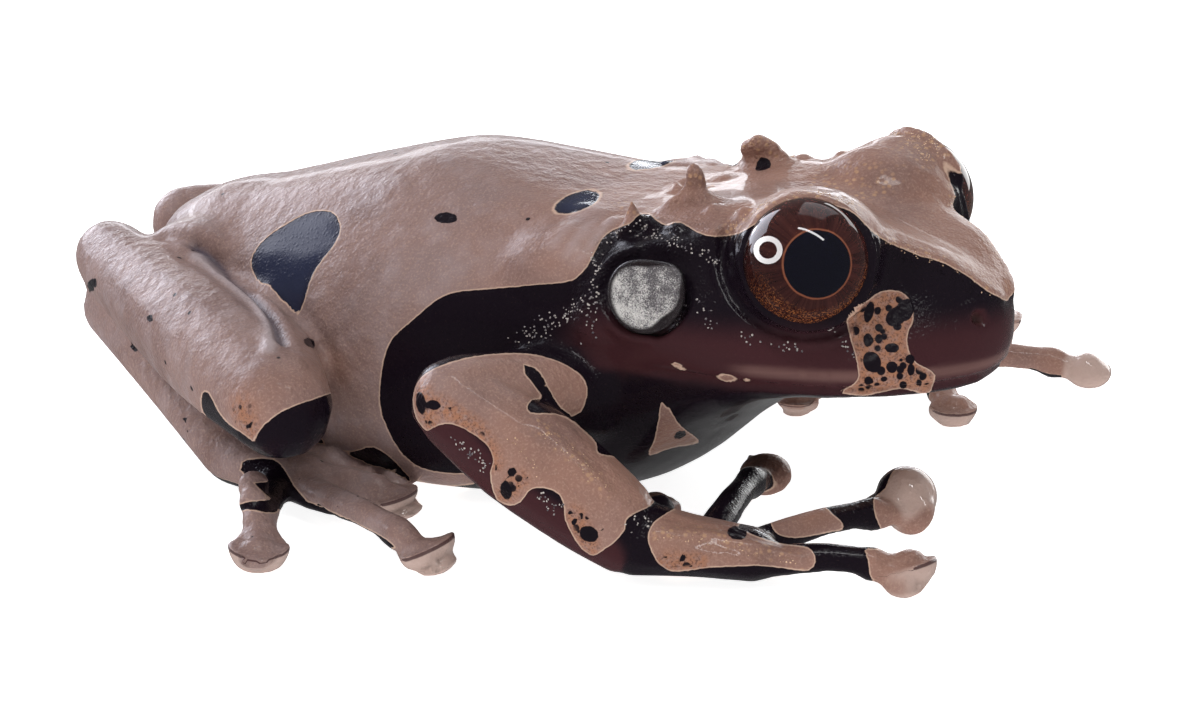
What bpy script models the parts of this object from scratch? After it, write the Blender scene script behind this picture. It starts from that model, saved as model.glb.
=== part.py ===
"""A crowned tree frog at life size, sitting still with its elbows out and its heels raised.

Every number below is in millimetres. +X points out of the snout, +Y to the frog's left and +Z up,
with the floor at Z = 0. Meshes are made in metres.
"""

import math

import bmesh
import bpy
import numpy as np
from mathutils import Matrix, Vector

MM = 0.001
GAP = 0.3
FLOOR_SINK = 0.12
SIDES = {"right": -1, "left": 1}

# The body's lines, as a boat builder draws them. Each runs from the snout back to the vent.
# A point is (x, y, z); y is the distance out from the midline.
BACK_LINE = [
    (27.3, 0, 13.9), (26.9, 0, 15.2), (25.5, 0, 16.5), (22, 0, 18.0), (17, 0, 19.4), (11, 0, 19.7),
    (6, 0, 18.9), (1, 0, 18.7), (-4, 0, 19.3), (-9.7, 0, 19.8), (-15.6, 0, 18.3), (-22.6, 0, 16.2),
    (-28.8, 0, 14.2), (-31.2, 0, 12.2), (-32.4, 0, 9.8),
]
RIDGE_LINE = [
    (27.3, 0.5, 13.9), (26.6, 1.4, 15.5), (25.2, 2.4, 17.0), (21.8, 3.9, 18.6), (17, 5.0, 19.8),
    (11, 7.0, 19.7), (6, 7.4, 18.5), (1, 7.2, 18.1), (-4, 6.8, 18.4), (-9.7, 6.4, 18.5), (-15.6, 5.6, 17.2),
    (-22.6, 4.4, 15.2), (-28.8, 2.9, 13.4), (-31.2, 1.6, 11.6), (-32.4, 0.5, 9.8),
]
CHEEK_LINE = [
    (27.3, 0.7, 13.4), (26.8, 1.9, 13.8), (25.4, 3.5, 14.2), (21.5, 5.7, 15.0), (18, 8.0, 15.5),
    (14, 9.9, 16.0), (10, 11.0, 16.0), (6, 11.1, 15.3), (0, 11.5, 14.0), (-6, 12.0, 13.4), (-12, 11.4, 12.9),
    (-18, 9.8, 12.0), (-24, 7.4, 11.0), (-28.8, 4.8, 10.4), (-31.2, 2.5, 9.9), (-32.4, 0.6, 9.5),
]
LIP_LINE = [
    (27.3, 0.6, 12.7), (26.7, 2.1, 11.7), (25.7, 3.9, 11.3), (24.1, 6.1, 11.2), (22, 8.0, 11.3),
    (19.5, 9.6, 11.5), (15, 11.3, 12.0), (10, 12.1, 12.5), (6, 12.3, 11.6), (0, 12.6, 9.2), (-6, 13.0, 7.6),
    (-12, 12.6, 7.0), (-18, 10.7, 6.8), (-24, 7.9, 6.9), (-28.8, 5.0, 7.3), (-31.2, 2.5, 8.0),
    (-32.4, 0.6, 9.0),
]
JAW_LINE = [
    (27.3, 0.4, 12.3), (26.5, 1.6, 10.4), (25.3, 3.3, 9.9), (23.5, 5.3, 9.8), (20, 7.8, 9.8), (15, 9.3, 9.3),
    (11, 9.7, 7.4), (6, 10.0, 4.1), (0, 10.4, 2.0), (-6, 10.8, 1.2), (-12, 10.5, 1.2), (-18, 8.4, 1.6),
    (-24, 5.6, 3.2), (-28.8, 3.4, 5.0), (-31.2, 1.8, 6.8), (-32.4, 0.4, 8.8),
]
KEEL_LINE = [
    (27.3, 0, 12.2), (26.7, 0, 10.5), (25.5, 0, 9.5), (23, 0, 9.1), (19, 0, 8.8), (15, 0, 7.9), (11, 0, 5.0),
    (8, 0, 2.3), (5, 0, 0.5), (1, 0, -0.3), (-6, 0, -0.4), (-13, 0, -0.3), (-18, 0, 0.1), (-24, 0, 1.7),
    (-28.8, 0, 4.0), (-31.2, 0, 6.2), (-32.4, 0, 8.7),
]
LINES = (BACK_LINE, RIDGE_LINE, CHEEK_LINE, LIP_LINE, JAW_LINE, KEEL_LINE)
SNOUT_X, VENT_X = 27.3, -32.4
CORE_STATIONS = 70
SPAN_STEPS = 5

# Mounds that stand out of the lofted body: centre on the left side, then half-sizes.
MOUNDS = [
    ((2.2, 8.2, 15.0), (4.6, 3.4, 3.2)),
    ((4.5, 9.4, 9.4), (4.6, 3.6, 4.2)),
    ((-9.5, 5.4, 16.2), (4.5, 2.6, 2.6)),
    ((-25.0, 5.0, 9.8), (6.0, 4.6, 4.4)),
]

# The eye: a ball behind a round opening between the lids, under a brow that lies further in.
EYE_CENTRE = (17.5, 7.75, 17.75)
EYE_RADIUS = 3.7
LID_OPENING = 3.8
LID_THICKNESS = 0.4
LID_REACH = 1.55
LID_FACING = (0.41, 0.85, 0.31)
ORBIT_SETBACK, ORBIT_RADIUS = 0.8, 4.35
BROW_CENTRE, BROW_HALVES = (16.8, 5.3, 17.3), (4.9, 4.0, 4.3)

EAR_CENTRE = (9.0, 11.5, 15.7)
EAR_FACING = (0.10, 0.96, 0.22)
EAR_RADIUS = 2.3
EAR_THICKNESS = 0.7

NOSTRIL_CENTRE = (26.6, 2.2, 14.2)
NOSTRIL_RADIUS = 0.45

# The cut between head and torso leans forward going down; the mouth cut is nearly level.
NECK_POINT, NECK_NORMAL = (6.0, 0, 15.0), (0.90, 0, 0.42)
MOUTH_POINT, MOUTH_NORMAL = (18.0, 0, 10.75), (0.05, 0, 1.0)

# Crown spines on the left side: foot (x, y), height, foot half-width, lean backwards, lean outwards.
CROWN = [
    (8.6, 4.7, 1.9, 1.35, 0.10, 0.05),
    (7.6, 5.4, 1.2, 1.10, 0.35, 0.25),
    (9.8, 4.9, 1.2, 1.10, -0.30, 0.00),
    (6.3, 8.3, 1.3, 0.90, 0.20, 0.40),
    (10.8, 6.4, 0.5, 1.10, 0.00, 0.20),
    (13.1, 7.0, 0.9, 1.40, 0.00, 0.20),
    (7.4, 2.2, 0.4, 1.00, 0.20, 0.00),
]

# Limb joints. The right side is the one that the pose is read from.
ARM = {
    "right": {"shoulder": (5.4, -9.8, 8.6), "elbow": (0.2, -18.8, 9.8), "wrist": (11.0, -17.2, 2.7),
              "palm": (17.2, -13.9, 1.6)},
    "left": {"shoulder": (5.4, 9.8, 8.6), "elbow": (-1.8, 18.8, 9.4), "wrist": (6.8, 24.4, 2.7),
             "palm": (11.6, 27.2, 1.6)},
}
LEG = {
    "right": {"hip": (-25.0, -5.4, 8.4), "knee": (-10.8, -20.5, 8.3), "heel": (-33.2, -4.6, 10.4),
              "hock": (-32.8, -5.2, 7.2), "ankle": (-18.6, -13.2, 1.8), "sole": (-12.8, -14.6, 1.6)},
    "left": {"hip": (-25.0, 5.4, 8.4), "knee": (-10.8, 20.5, 8.3), "heel": (-33.2, 4.6, 10.4),
             "hock": (-32.8, 5.2, 7.2), "ankle": (-18.6, 13.2, 1.8), "sole": (-12.8, 14.6, 1.6)},
}

# Digits, inner to outer: where each leaves the palm or sole (share of its length), and its tip on the floor.
FINGERS = {
    "right": [(0.35, 7.8, -8.0), (0.55, 12.0, -1.2), (0.85, 22.2, -2.2), (1.0, 25.9, -11.8)],
    "left": [(0.35, 6.8, 14.6), (0.55, 16.8, 17.4), (0.85, 21.8, 28.9), (1.0, 12.2, 37.6)],
}
TOES = {
    "right": [(0.4, -15.4, -7.2), (0.6, -9.8, -10.8), (0.8, -6.6, -14.0), (1.0, -0.3, -21.4),
              (0.75, -9.3, -26.0)],
    "left": [(0.4, -15.4, 7.2), (0.6, -9.8, 10.8), (0.8, -5.2, 14.4), (1.0, 0.3, 21.0), (0.75, -8.4, 26.0)],
}

# Girths along a limb: share of the length, half-width, half-height.
UPPER_ARM = [(0.0, 3.0, 3.2), (0.5, 2.8, 3.0), (1.0, 2.8, 2.9)]
FOREARM = [(0.0, 2.8, 2.8), (0.35, 3.3, 3.3), (0.75, 3.1, 3.0), (1.0, 2.6, 2.5)]
PALM = [(0.0, 2.6, 2.3), (0.5, 2.8, 1.7), (1.0, 2.5, 1.5)]
THIGH = [(0.0, 4.2, 4.2), (0.4, 4.1, 4.0), (0.8, 3.7, 3.6), (1.0, 3.2, 3.2)]
SHANK = [(0.0, 3.1, 3.2), (0.35, 3.5, 3.8), (0.75, 3.0, 3.1), (1.0, 2.4, 2.5)]
TARSUS = [(0.0, 2.0, 2.0), (0.5, 2.0, 1.9), (1.0, 2.2, 1.8)]
SOLE = [(0.0, 2.2, 1.8), (0.5, 2.4, 1.6), (1.0, 2.2, 1.4)]
DIGIT = [(0.0, 1.3, 1.1), (0.3, 1.1, 0.95), (0.66, 0.9, 0.85), (0.76, 1.05, 1.15), (0.86, 0.95, 0.85)]
DISC_HALVES = (1.65, 1.8, 1.05)
DIGIT_ARCH = 0.7

# Discs that don't lie flat: tilt about the digit's own line and about the line across it, in degrees.
DISC_TILT = {"finger_right_2": (0, -30), "finger_right_3": (0, -55), "finger_right_4": (30, -20)}
DISC_LIFT = {"finger_right_2": 0.6}

CORE_VOXEL = 0.45
HEAD_TRIANGLES, TORSO_TRIANGLES = 3900, 2600

COLOURS = {
    "tan": (0.30, 0.20, 0.16),
    "dark": (0.030, 0.016, 0.016),
    "eye": (0.05, 0.015, 0.010),
    "ear": (0.10, 0.09, 0.09),
}


def clear_scene():
    for obj in list(bpy.data.objects):
        bpy.data.objects.remove(obj)


def finish(name, colour, roughness):
    """A Principled material in one of the model's plain colours."""
    material = bpy.data.materials.new(name)
    material.use_nodes = True
    shader = material.node_tree.nodes["Principled BSDF"]
    shader.inputs["Base Color"].default_value = (*colour, 1)
    shader.inputs["Roughness"].default_value = roughness
    shader.inputs["Metallic"].default_value = 0.0
    return material


def along(line, x):
    """The point of a body line at x, on a cubic through the line's points."""
    line = np.array(line, float)
    order = np.argsort(line[:, 0])
    px, values = line[order, 0], line[order, 1:]
    slopes = np.gradient(values, px, axis=0)
    i = int(np.clip(np.searchsorted(px, x) - 1, 0, len(px) - 2))
    width = px[i + 1] - px[i]
    t = (x - px[i]) / width
    return (
        (2 * t**3 - 3 * t**2 + 1) * values[i]
        + (t**3 - 2 * t**2 + t) * width * slopes[i]
        + (3 * t**2 - 2 * t**3) * values[i + 1]
        + (t**3 - t**2) * width * slopes[i + 1]
    )


def through(points, steps, closed=False):
    """A smooth run of points through the given ones (Catmull-Rom)."""
    points = np.array(points, float)
    count = len(points)
    found = []
    for i in range(count if closed else count - 1):
        before, start, end, after = (points[k % count] if closed else points[min(max(k, 0), count - 1)]
                                     for k in (i - 1, i, i + 1, i + 2))
        for t in np.arange(steps) / steps:
            found.append(0.5 * (2 * start + (end - before) * t + (2 * before - 5 * start + 4 * end - after) * t**2
                                + (3 * start - before - 3 * end + after) * t**3))
    if not closed:
        found.append(points[-1])
    return np.array(found)


def loft(name, rings):
    """A closed skin over a run of rings, with a flat fan at each end."""
    shape = bmesh.new()
    verts = [[shape.verts.new(Vector(p) * MM) for p in ring] for ring in rings]
    count = len(verts[0])
    for ring, following in zip(verts, verts[1:]):
        for i in range(count):
            j = (i + 1) % count
            shape.faces.new((ring[i], ring[j], following[j], following[i]))
    shape.faces.new(verts[0][::-1])
    shape.faces.new(verts[-1])
    bmesh.ops.recalc_face_normals(shape, faces=shape.faces)
    mesh = bpy.data.meshes.new(name)
    shape.to_mesh(mesh)
    shape.free()
    obj = bpy.data.objects.new(name, mesh)
    bpy.context.scene.collection.objects.link(obj)
    return obj


def body_ring(x):
    """The body's outline at x, from the back round the left side to the keel and up the right."""
    half = [along(line, x) for line in LINES]
    left = [(y, z) for y, z in half]
    right = [(-y, z) for y, z in half[-2:0:-1]]
    outline = through(left + right, SPAN_STEPS, closed=True)
    return [(x, y, z) for y, z in outline]


def ellipsoid(name, centre, halves, segments=24):
    shape = bmesh.new()
    bmesh.ops.create_uvsphere(shape, u_segments=segments, v_segments=segments // 2, radius=1.0)
    place = Matrix.Translation(Vector(centre) * MM) @ Matrix.Diagonal((*(Vector(halves) * MM), 1))
    bmesh.ops.transform(shape, matrix=place, verts=shape.verts)
    mesh = bpy.data.meshes.new(name)
    shape.to_mesh(mesh)
    shape.free()
    obj = bpy.data.objects.new(name, mesh)
    bpy.context.scene.collection.objects.link(obj)
    return obj


def turned_cylinder(name, centre, facing, radius, length, segments=24, tip=None):
    """A cylinder, or a cone where tip is its far radius, with its axis along facing."""
    shape = bmesh.new()
    bmesh.ops.create_cone(shape, cap_ends=True, segments=segments, radius1=radius * MM,
                          radius2=(radius if tip is None else tip) * MM, depth=length * MM)
    turn = Vector(facing).to_track_quat("Z", "Y").to_matrix().to_4x4()
    bmesh.ops.transform(shape, matrix=Matrix.Translation(Vector(centre) * MM) @ turn, verts=shape.verts)
    mesh = bpy.data.meshes.new(name)
    shape.to_mesh(mesh)
    shape.free()
    obj = bpy.data.objects.new(name, mesh)
    bpy.context.scene.collection.objects.link(obj)
    return obj


def ring_torus(name, centre, facing, radius, thickness, around=24, across=6):
    """A rounded rim: a torus with its axis along facing."""
    bpy.ops.mesh.primitive_torus_add(major_segments=around, minor_segments=across, major_radius=radius * MM,
                                     minor_radius=thickness * MM, location=Vector(centre) * MM)
    obj = bpy.context.active_object
    obj.name = name
    obj.rotation_mode = "QUATERNION"
    obj.rotation_quaternion = Vector(facing).to_track_quat("Z", "Y")
    bpy.context.view_layer.update()
    obj.data.transform(obj.matrix_world)
    obj.matrix_world = Matrix.Identity(4)
    return obj


def limb(name, path, girths, steps=3, sides=11, round_start=True, round_end=True, flat=(0, 0, 1)):
    """A limb as a loft of ellipses along a smooth path. flat is the direction of its half-height."""
    path = through(path, 8)
    lengths = np.concatenate([[0], np.cumsum(np.linalg.norm(np.diff(path, axis=0), axis=1))])
    shares = lengths / lengths[-1]
    girth_run = through(girths, steps)
    rings = []
    ends = {0: round_start, len(girth_run) - 1: round_end}
    for i, (share, wide, high) in enumerate(girth_run):
        centre = np.array([np.interp(share, shares, path[:, k]) for k in range(3)])
        ahead = np.array([np.interp(min(share + 0.02, 1), shares, path[:, k]) for k in range(3)])
        behind = np.array([np.interp(max(share - 0.02, 0), shares, path[:, k]) for k in range(3)])
        tangent = (ahead - behind) / np.linalg.norm(ahead - behind)
        across = np.cross(flat, tangent)
        across /= np.linalg.norm(across)
        up = np.cross(tangent, across)
        caps = [(0.0, 1.0)]
        if ends.get(i):
            cap = [(math.sin(a), math.cos(a)) for a in np.radians([35, 68])]
            caps = caps + cap if i else [(-s, c) for s, c in cap[::-1]] + caps
        for reach, share_of_girth in caps:
            middle = centre + tangent * reach * min(wide, high)
            turn = np.arange(sides) * 2 * math.pi / sides
            rings.append([middle + (across * wide * math.cos(a) + up * high * math.sin(a)) * share_of_girth
                          for a in turn])
    return loft(name, rings)


def evaluated(obj, name=None):
    """obj with its modifiers applied."""
    mesh = bpy.data.meshes.new_from_object(obj.evaluated_get(bpy.context.evaluated_depsgraph_get()))
    obj.modifiers.clear()
    obj.data = mesh
    if name:
        obj.name = name
    return obj


def joined(name, pieces):
    """The pieces' meshes in one object, still overlapping."""
    shape = bmesh.new()
    for piece in pieces:
        shape.from_mesh(piece.data)
        bpy.data.objects.remove(piece)
    mesh = bpy.data.meshes.new(name)
    shape.to_mesh(mesh)
    shape.free()
    obj = bpy.data.objects.new(name, mesh)
    bpy.context.scene.collection.objects.link(obj)
    return obj


def copied(obj, name):
    twin = bpy.data.objects.new(name, obj.data.copy())
    bpy.context.scene.collection.objects.link(twin)
    return twin


def thinned(obj, triangles):
    """obj with about this many triangles."""
    obj.data.calc_loop_triangles()
    thin = obj.modifiers.new("thin", "DECIMATE")
    thin.ratio = min(1.0, triangles / len(obj.data.loop_triangles))
    return evaluated(obj)


def keep_largest(obj):
    """Keeps only the largest closed surface of obj."""
    shape = bmesh.new()
    shape.from_mesh(obj.data)
    left, groups = set(shape.faces), []
    while left:
        group, edge = set(), [left.pop()]
        while edge:
            face = edge.pop()
            group.add(face)
            for link in face.edges:
                for other in link.link_faces:
                    if other in left:
                        left.discard(other)
                        edge.append(other)
        groups.append(group)
    largest = max(groups, key=len)
    bmesh.ops.delete(shape, geom=[f for f in shape.faces if f not in largest], context="FACES")
    shape.to_mesh(obj.data)
    shape.free()
    return obj


def sliced(obj, point, normal):
    """Cuts away what lies ahead of the plane and closes the cut."""
    shape = bmesh.new()
    shape.from_mesh(obj.data)
    cut = bmesh.ops.bisect_plane(shape, geom=[*shape.verts, *shape.edges, *shape.faces], dist=1e-7,
                                 plane_co=Vector(point) * MM, plane_no=Vector(normal), clear_outer=True)
    rim = [e for e in shape.edges if e.is_boundary]
    if rim:
        bmesh.ops.holes_fill(shape, edges=rim, sides=0)
    caps = [f for f in shape.faces if len(f.verts) > 4]
    bmesh.ops.triangulate(shape, faces=caps)
    bmesh.ops.recalc_face_normals(shape, faces=shape.faces)
    shape.to_mesh(obj.data)
    shape.free()
    return obj


def on_floor(obj):
    return sliced(obj, (0, 0, 0), (0, 0, -1))


def boolean(obj, others, operation, solver="MANIFOLD"):
    """Joins or cuts with a group of closed objects, which are then removed."""
    group = bpy.data.collections.new("group")
    bpy.context.scene.collection.children.link(group)
    for other in others:
        group.objects.link(other)
    bpy.context.view_layer.update()
    step = obj.modifiers.new(operation, "BOOLEAN")
    step.operation = operation
    step.operand_type = "COLLECTION"
    step.collection = group
    step.solver = solver
    evaluated(obj)
    for other in list(group.objects):
        bpy.data.objects.remove(other)
    bpy.data.collections.remove(group)
    return keep_largest(obj)


def grown(obj, amount):
    """A copy of obj, swollen along its normals."""
    twin = copied(obj, obj.name + "_grown")
    swell = twin.modifiers.new("swell", "DISPLACE")
    swell.direction = "NORMAL"
    swell.mid_level = 0
    swell.strength = amount * MM
    return evaluated(twin)


def made_of(obj, material):
    obj.data.materials.clear()
    obj.data.materials.append(material)
    obj.data.shade_smooth()
    obj.data.set_sharp_from_angle(angle=math.radians(50))
    return obj


def mirrored(point, side):
    return (point[0], abs(point[1]) * SIDES[side], point[2])


def make_core():
    """The body from snout to vent, brows and shoulders included, as one smooth skin."""
    share = 0.5 - 0.5 * np.cos(np.linspace(0, math.pi, CORE_STATIONS))
    stations = SNOUT_X + (VENT_X - SNOUT_X) * share
    pieces = [loft("hull", [body_ring(x) for x in stations])]
    for side in SIDES:
        for centre, halves in MOUNDS:
            pieces.append(ellipsoid("mound", mirrored(centre, side), halves))
        facing = Vector(mirrored(LID_FACING, side)).normalized()
        orbit = Vector(mirrored(EYE_CENTRE, side)) - facing * ORBIT_SETBACK
        pieces.append(ellipsoid("orbit", orbit, (ORBIT_RADIUS,) * 3, segments=40))
        pieces.append(ellipsoid("brow", mirrored(BROW_CENTRE, side), BROW_HALVES, segments=40))
    core = joined("core", pieces)
    remesh = core.modifiers.new("remesh", "REMESH")
    remesh.mode = "VOXEL"
    remesh.voxel_size = CORE_VOXEL * MM
    smooth = core.modifiers.new("smooth", "SMOOTH")
    smooth.factor = 0.5
    smooth.iterations = 6
    return evaluated(core)


def make_crown(side):
    """Low bony spines round the back of the skull, each a cone with a blunt tip."""
    spines = []
    for x, y, height, foot, back, out in CROWN:
        top = along(BACK_LINE, x)[1]
        ridge_y, ridge_z = along(RIDGE_LINE, x)
        z = top + (ridge_z - top) * min(1.0, y / ridge_y) - 0.6 * max(0.0, y - ridge_y)
        lean = Vector((-back, out * SIDES[side], 1)).normalized()
        root = 1.6
        middle = Vector((x, y * SIDES[side], z)) + lean * (height - root) / 2
        spines.append(turned_cylinder("spine", middle, lean, foot * 1.25, height + root, segments=8, tip=0.28))
    return spines


def make_head(core):
    head = thinned(copied(core, "head"), HEAD_TRIANGLES)
    neck = Vector(NECK_POINT) + Vector(NECK_NORMAL).normalized() * GAP / 2
    sliced(head, neck, -Vector(NECK_NORMAL))
    mouth = Vector(MOUTH_POINT) + Vector(MOUTH_NORMAL).normalized() * GAP / 2
    sliced(head, mouth, -Vector(MOUTH_NORMAL))
    additions, cutters = [], []
    for side in SIDES:
        eye, facing = Vector(mirrored(EYE_CENTRE, side)), Vector(mirrored(LID_FACING, side)).normalized()
        additions.append(ring_torus("lid", eye + facing * LID_REACH, facing, LID_OPENING, LID_THICKNESS))
        additions += make_crown(side)
        cutters.append(ellipsoid("socket", eye, (EYE_RADIUS + GAP,) * 3, segments=28))
        ear_facing = Vector(mirrored(EAR_FACING, side)).normalized()
        cutters.append(turned_cylinder("ear_recess", mirrored(EAR_CENTRE, side), ear_facing, EAR_RADIUS + GAP,
                                       2 * (EAR_THICKNESS / 2 + GAP)))
        cutters.append(ellipsoid("nostril", mirrored(NOSTRIL_CENTRE, side), (NOSTRIL_RADIUS * 1.6,
                       NOSTRIL_RADIUS * 1.6, NOSTRIL_RADIUS), segments=10))
    boolean(head, additions, "UNION")
    boolean(head, cutters, "DIFFERENCE")
    return head


def make_lower_jaw(core):
    jaw = thinned(copied(core, "lower_jaw"), HEAD_TRIANGLES * 0.6)
    neck = Vector(NECK_POINT) + Vector(NECK_NORMAL).normalized() * GAP / 2
    sliced(jaw, neck, -Vector(NECK_NORMAL))
    mouth = Vector(MOUTH_POINT) - Vector(MOUTH_NORMAL).normalized() * GAP / 2
    sliced(jaw, mouth, Vector(MOUTH_NORMAL))
    return keep_largest(jaw)


def make_torso(core):
    torso = thinned(copied(core, "torso"), TORSO_TRIANGLES)
    neck = Vector(NECK_POINT) - Vector(NECK_NORMAL).normalized() * GAP / 2
    sliced(torso, neck, Vector(NECK_NORMAL))
    return on_floor(torso)


def parted(first, second, joint, before, after):
    """Cuts two neighbouring pieces back to either side of the plane that halves their joint's bend."""
    joint = Vector(joint)
    normal = ((Vector(after) - joint).normalized() - (Vector(before) - joint).normalized()).normalized()
    sliced(first, joint - normal * GAP / 2, normal)
    sliced(second, joint + normal * GAP / 2, -normal)


def fitted(piece, neighbours):
    """Lays a piece against its neighbours: it is cut back to a narrow gap from each."""
    for neighbour in neighbours:
        boolean(piece, [neighbour.copy(), grown(neighbour, GAP)], "DIFFERENCE")
    return piece


def make_disc(name, tip, ahead):
    """The broad pad at a digit's end."""
    shape = ellipsoid(name + "_disc", (0, 0, 0), DISC_HALVES, segments=10)
    roll, pitch = (math.radians(a) for a in DISC_TILT.get(name, (0, 0)))
    heading = Matrix.Rotation(math.atan2(ahead.y, ahead.x), 4, "Z")
    turn = heading @ Matrix.Rotation(roll, 4, "X") @ Matrix.Rotation(pitch, 4, "Y")
    shape.data.transform(turn)
    lowest = min(v.co.z for v in shape.data.vertices)
    place = Vector((tip[0] * MM, tip[1] * MM, -lowest + (DISC_LIFT.get(name, 0) - FLOOR_SINK) * MM))
    shape.data.transform(Matrix.Translation(place))
    return shape, place / MM


def make_digits(kind, side, palm_start, palm_end, digits, neighbours):
    """Fingers or toes: each arches from the palm to a broad disc that rests on the floor."""
    start, end = Vector(palm_start), Vector(palm_end)
    outward = Vector((end.y - start.y, start.x - end.x, 0)).normalized()
    made, bases, headings = [], [], []
    for i, (share, x, y) in enumerate(digits):
        name = f"{kind}_{side}_{i + 1}"
        base = start.lerp(end, share)
        sideways = (Vector((x, y, 0)) - base).dot(outward) * 0.25
        base = base + outward * max(-1.2, min(1.2, sideways))
        base.z = 1.3
        heading = (Vector((x, y, base.z)) - base).normalized()
        disc, tip = make_disc(name, (x, y), heading)
        neck = Vector((x, y, min(tip.z, 1.2) + DISC_LIFT.get(name, 0)))
        middle = base.lerp(neck, 0.55)
        middle.z += DIGIT_ARCH
        shaft = limb(name, [base, middle, neck], DIGIT, sides=7, steps=2)
        boolean(shaft, [disc], "UNION")
        on_floor(shaft)
        made.append(shaft)
        bases.append(base)
        headings.append(heading)
    for i in range(len(made) - 1):
        between = (bases[i] + bases[i + 1]) / 2
        bisector = (headings[i] + headings[i + 1]).normalized()
        normal = Vector((bisector.y, -bisector.x, 0))
        if normal.dot(headings[i + 1] - headings[i]) < 0:
            normal.negate()
        sliced(made[i], between - normal * GAP / 2, normal)
        sliced(made[i + 1], between + normal * GAP / 2, -normal)
    return [fitted(digit, neighbours) for digit in made]


def make_arm(side, torso):
    joint = ARM[side]
    shoulder, elbow, wrist, palm_end = (Vector(joint[k]) for k in ("shoulder", "elbow", "wrist", "palm"))
    upper = limb(f"upper_arm_{side}", [shoulder, elbow], UPPER_ARM)
    fore = on_floor(limb(f"forearm_{side}", [elbow, wrist], FOREARM))
    palm = on_floor(limb(f"hand_{side}", [wrist, palm_end], PALM))
    parted(upper, fore, elbow, shoulder, wrist)
    parted(fore, palm, wrist, elbow, palm_end)
    for piece in (upper, fore, palm):
        fitted(piece, [torso])
    return [upper, fore, palm, *make_digits("finger", side, wrist, palm_end, FINGERS[side], [palm, fore, torso])]


def make_leg(side, torso):
    joint = LEG[side]
    hip, knee, heel, hock, ankle, sole_end = (Vector(joint[k]) for k in ("hip", "knee", "heel", "hock", "ankle",
                                                                         "sole"))
    thigh = limb(f"thigh_{side}", [hip, knee], THIGH)
    shank = limb(f"shank_{side}", [knee, heel], SHANK)
    tarsus = limb(f"tarsus_{side}", [hock, ankle], TARSUS)
    sole = on_floor(limb(f"foot_{side}", [ankle, sole_end], SOLE))
    parted(thigh, shank, knee, hip, heel)
    parted(shank, tarsus, (heel + hock) / 2, knee, ankle)
    parted(tarsus, sole, ankle, hock, sole_end)
    fitted(thigh, [torso])
    fitted(shank, [torso])
    fitted(tarsus, [torso, thigh])
    fitted(sole, [torso, shank, thigh])
    around = [sole, tarsus, shank, torso]
    return [thigh, shank, tarsus, sole, *make_digits("toe", side, ankle, sole_end, TOES[side], around)]


def make_eye(side):
    return ellipsoid(f"eye_{side}", mirrored(EYE_CENTRE, side), (EYE_RADIUS,) * 3, segments=20)


def make_ear(side):
    facing = Vector(mirrored(EAR_FACING, side)).normalized()
    return turned_cylinder(f"eardrum_{side}", mirrored(EAR_CENTRE, side), facing, EAR_RADIUS, EAR_THICKNESS)


def stand_on_origin():
    """Puts the origin on the floor, under the middle of the whole model."""
    corners = [obj.matrix_world @ Vector(c) for obj in bpy.data.objects for c in obj.bound_box]
    middle = [(min(c[k] for c in corners) + max(c[k] for c in corners)) / 2 for k in range(2)]
    for obj in bpy.data.objects:
        obj.location = Vector((-middle[0], -middle[1], 0))


def gather(name):
    """Moves every object to one collection."""
    group = bpy.data.collections.new(name)
    bpy.context.scene.collection.children.link(group)
    for obj in list(bpy.data.objects):
        for other in list(obj.users_collection):
            other.objects.unlink(obj)
        group.objects.link(obj)


def main():
    clear_scene()
    tan = finish("tan_skin", COLOURS["tan"], 0.35)
    dark = finish("dark_skin", COLOURS["dark"], 0.25)
    eye = finish("eye", COLOURS["eye"], 0.05)
    ear = finish("eardrum", COLOURS["ear"], 0.3)
    core = make_core()
    made_of(make_head(core), tan)
    made_of(make_lower_jaw(core), dark)
    torso = made_of(make_torso(core), tan)
    bpy.data.objects.remove(core)
    for side in SIDES:
        for piece in make_arm(side, torso) + make_leg(side, torso):
            made_of(piece, tan)
        made_of(make_eye(side), eye)
        made_of(make_ear(side), ear)
    bpy.context.view_layer.update()
    stand_on_origin()
    gather("crowned_tree_frog")


main()
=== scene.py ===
# %% [markdown]
# # A crowned tree frog
#
# The frog sits still, so one skin can cover its whole body: a single mesh with no seams, grown over the
# solids of the frame. Eyes and eardrums are pieces of their own, because they are other tissues.
# The frame's axes are +X out of the snout, +Y to the frog's left and +Z up. Lengths are in metres there, and
# most numbers below are millimetres times MM, because that is the scale on which a frog is measured.

# %% The frame
import math

import bmesh
import bpy
import numpy as np
from mathutils import Matrix, Quaternion, Vector
from mathutils.bvhtree import BVHTree


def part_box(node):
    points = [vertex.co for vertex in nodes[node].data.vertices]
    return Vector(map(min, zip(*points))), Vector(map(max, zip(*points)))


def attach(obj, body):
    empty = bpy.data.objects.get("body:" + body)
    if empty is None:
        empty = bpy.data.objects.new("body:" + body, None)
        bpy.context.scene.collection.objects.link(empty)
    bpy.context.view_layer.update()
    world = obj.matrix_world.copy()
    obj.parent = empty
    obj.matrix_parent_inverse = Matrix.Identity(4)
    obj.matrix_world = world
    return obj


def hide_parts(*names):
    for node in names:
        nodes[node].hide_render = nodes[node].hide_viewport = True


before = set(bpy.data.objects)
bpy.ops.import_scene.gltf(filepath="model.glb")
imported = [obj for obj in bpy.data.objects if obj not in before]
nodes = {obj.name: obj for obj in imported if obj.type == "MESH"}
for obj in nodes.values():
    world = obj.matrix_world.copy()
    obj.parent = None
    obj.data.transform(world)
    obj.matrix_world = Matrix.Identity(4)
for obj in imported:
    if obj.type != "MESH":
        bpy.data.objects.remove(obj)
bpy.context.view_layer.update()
MM = 0.001
flesh = sorted(n for n in nodes if not n.startswith(("eye_", "eardrum_")))


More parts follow.
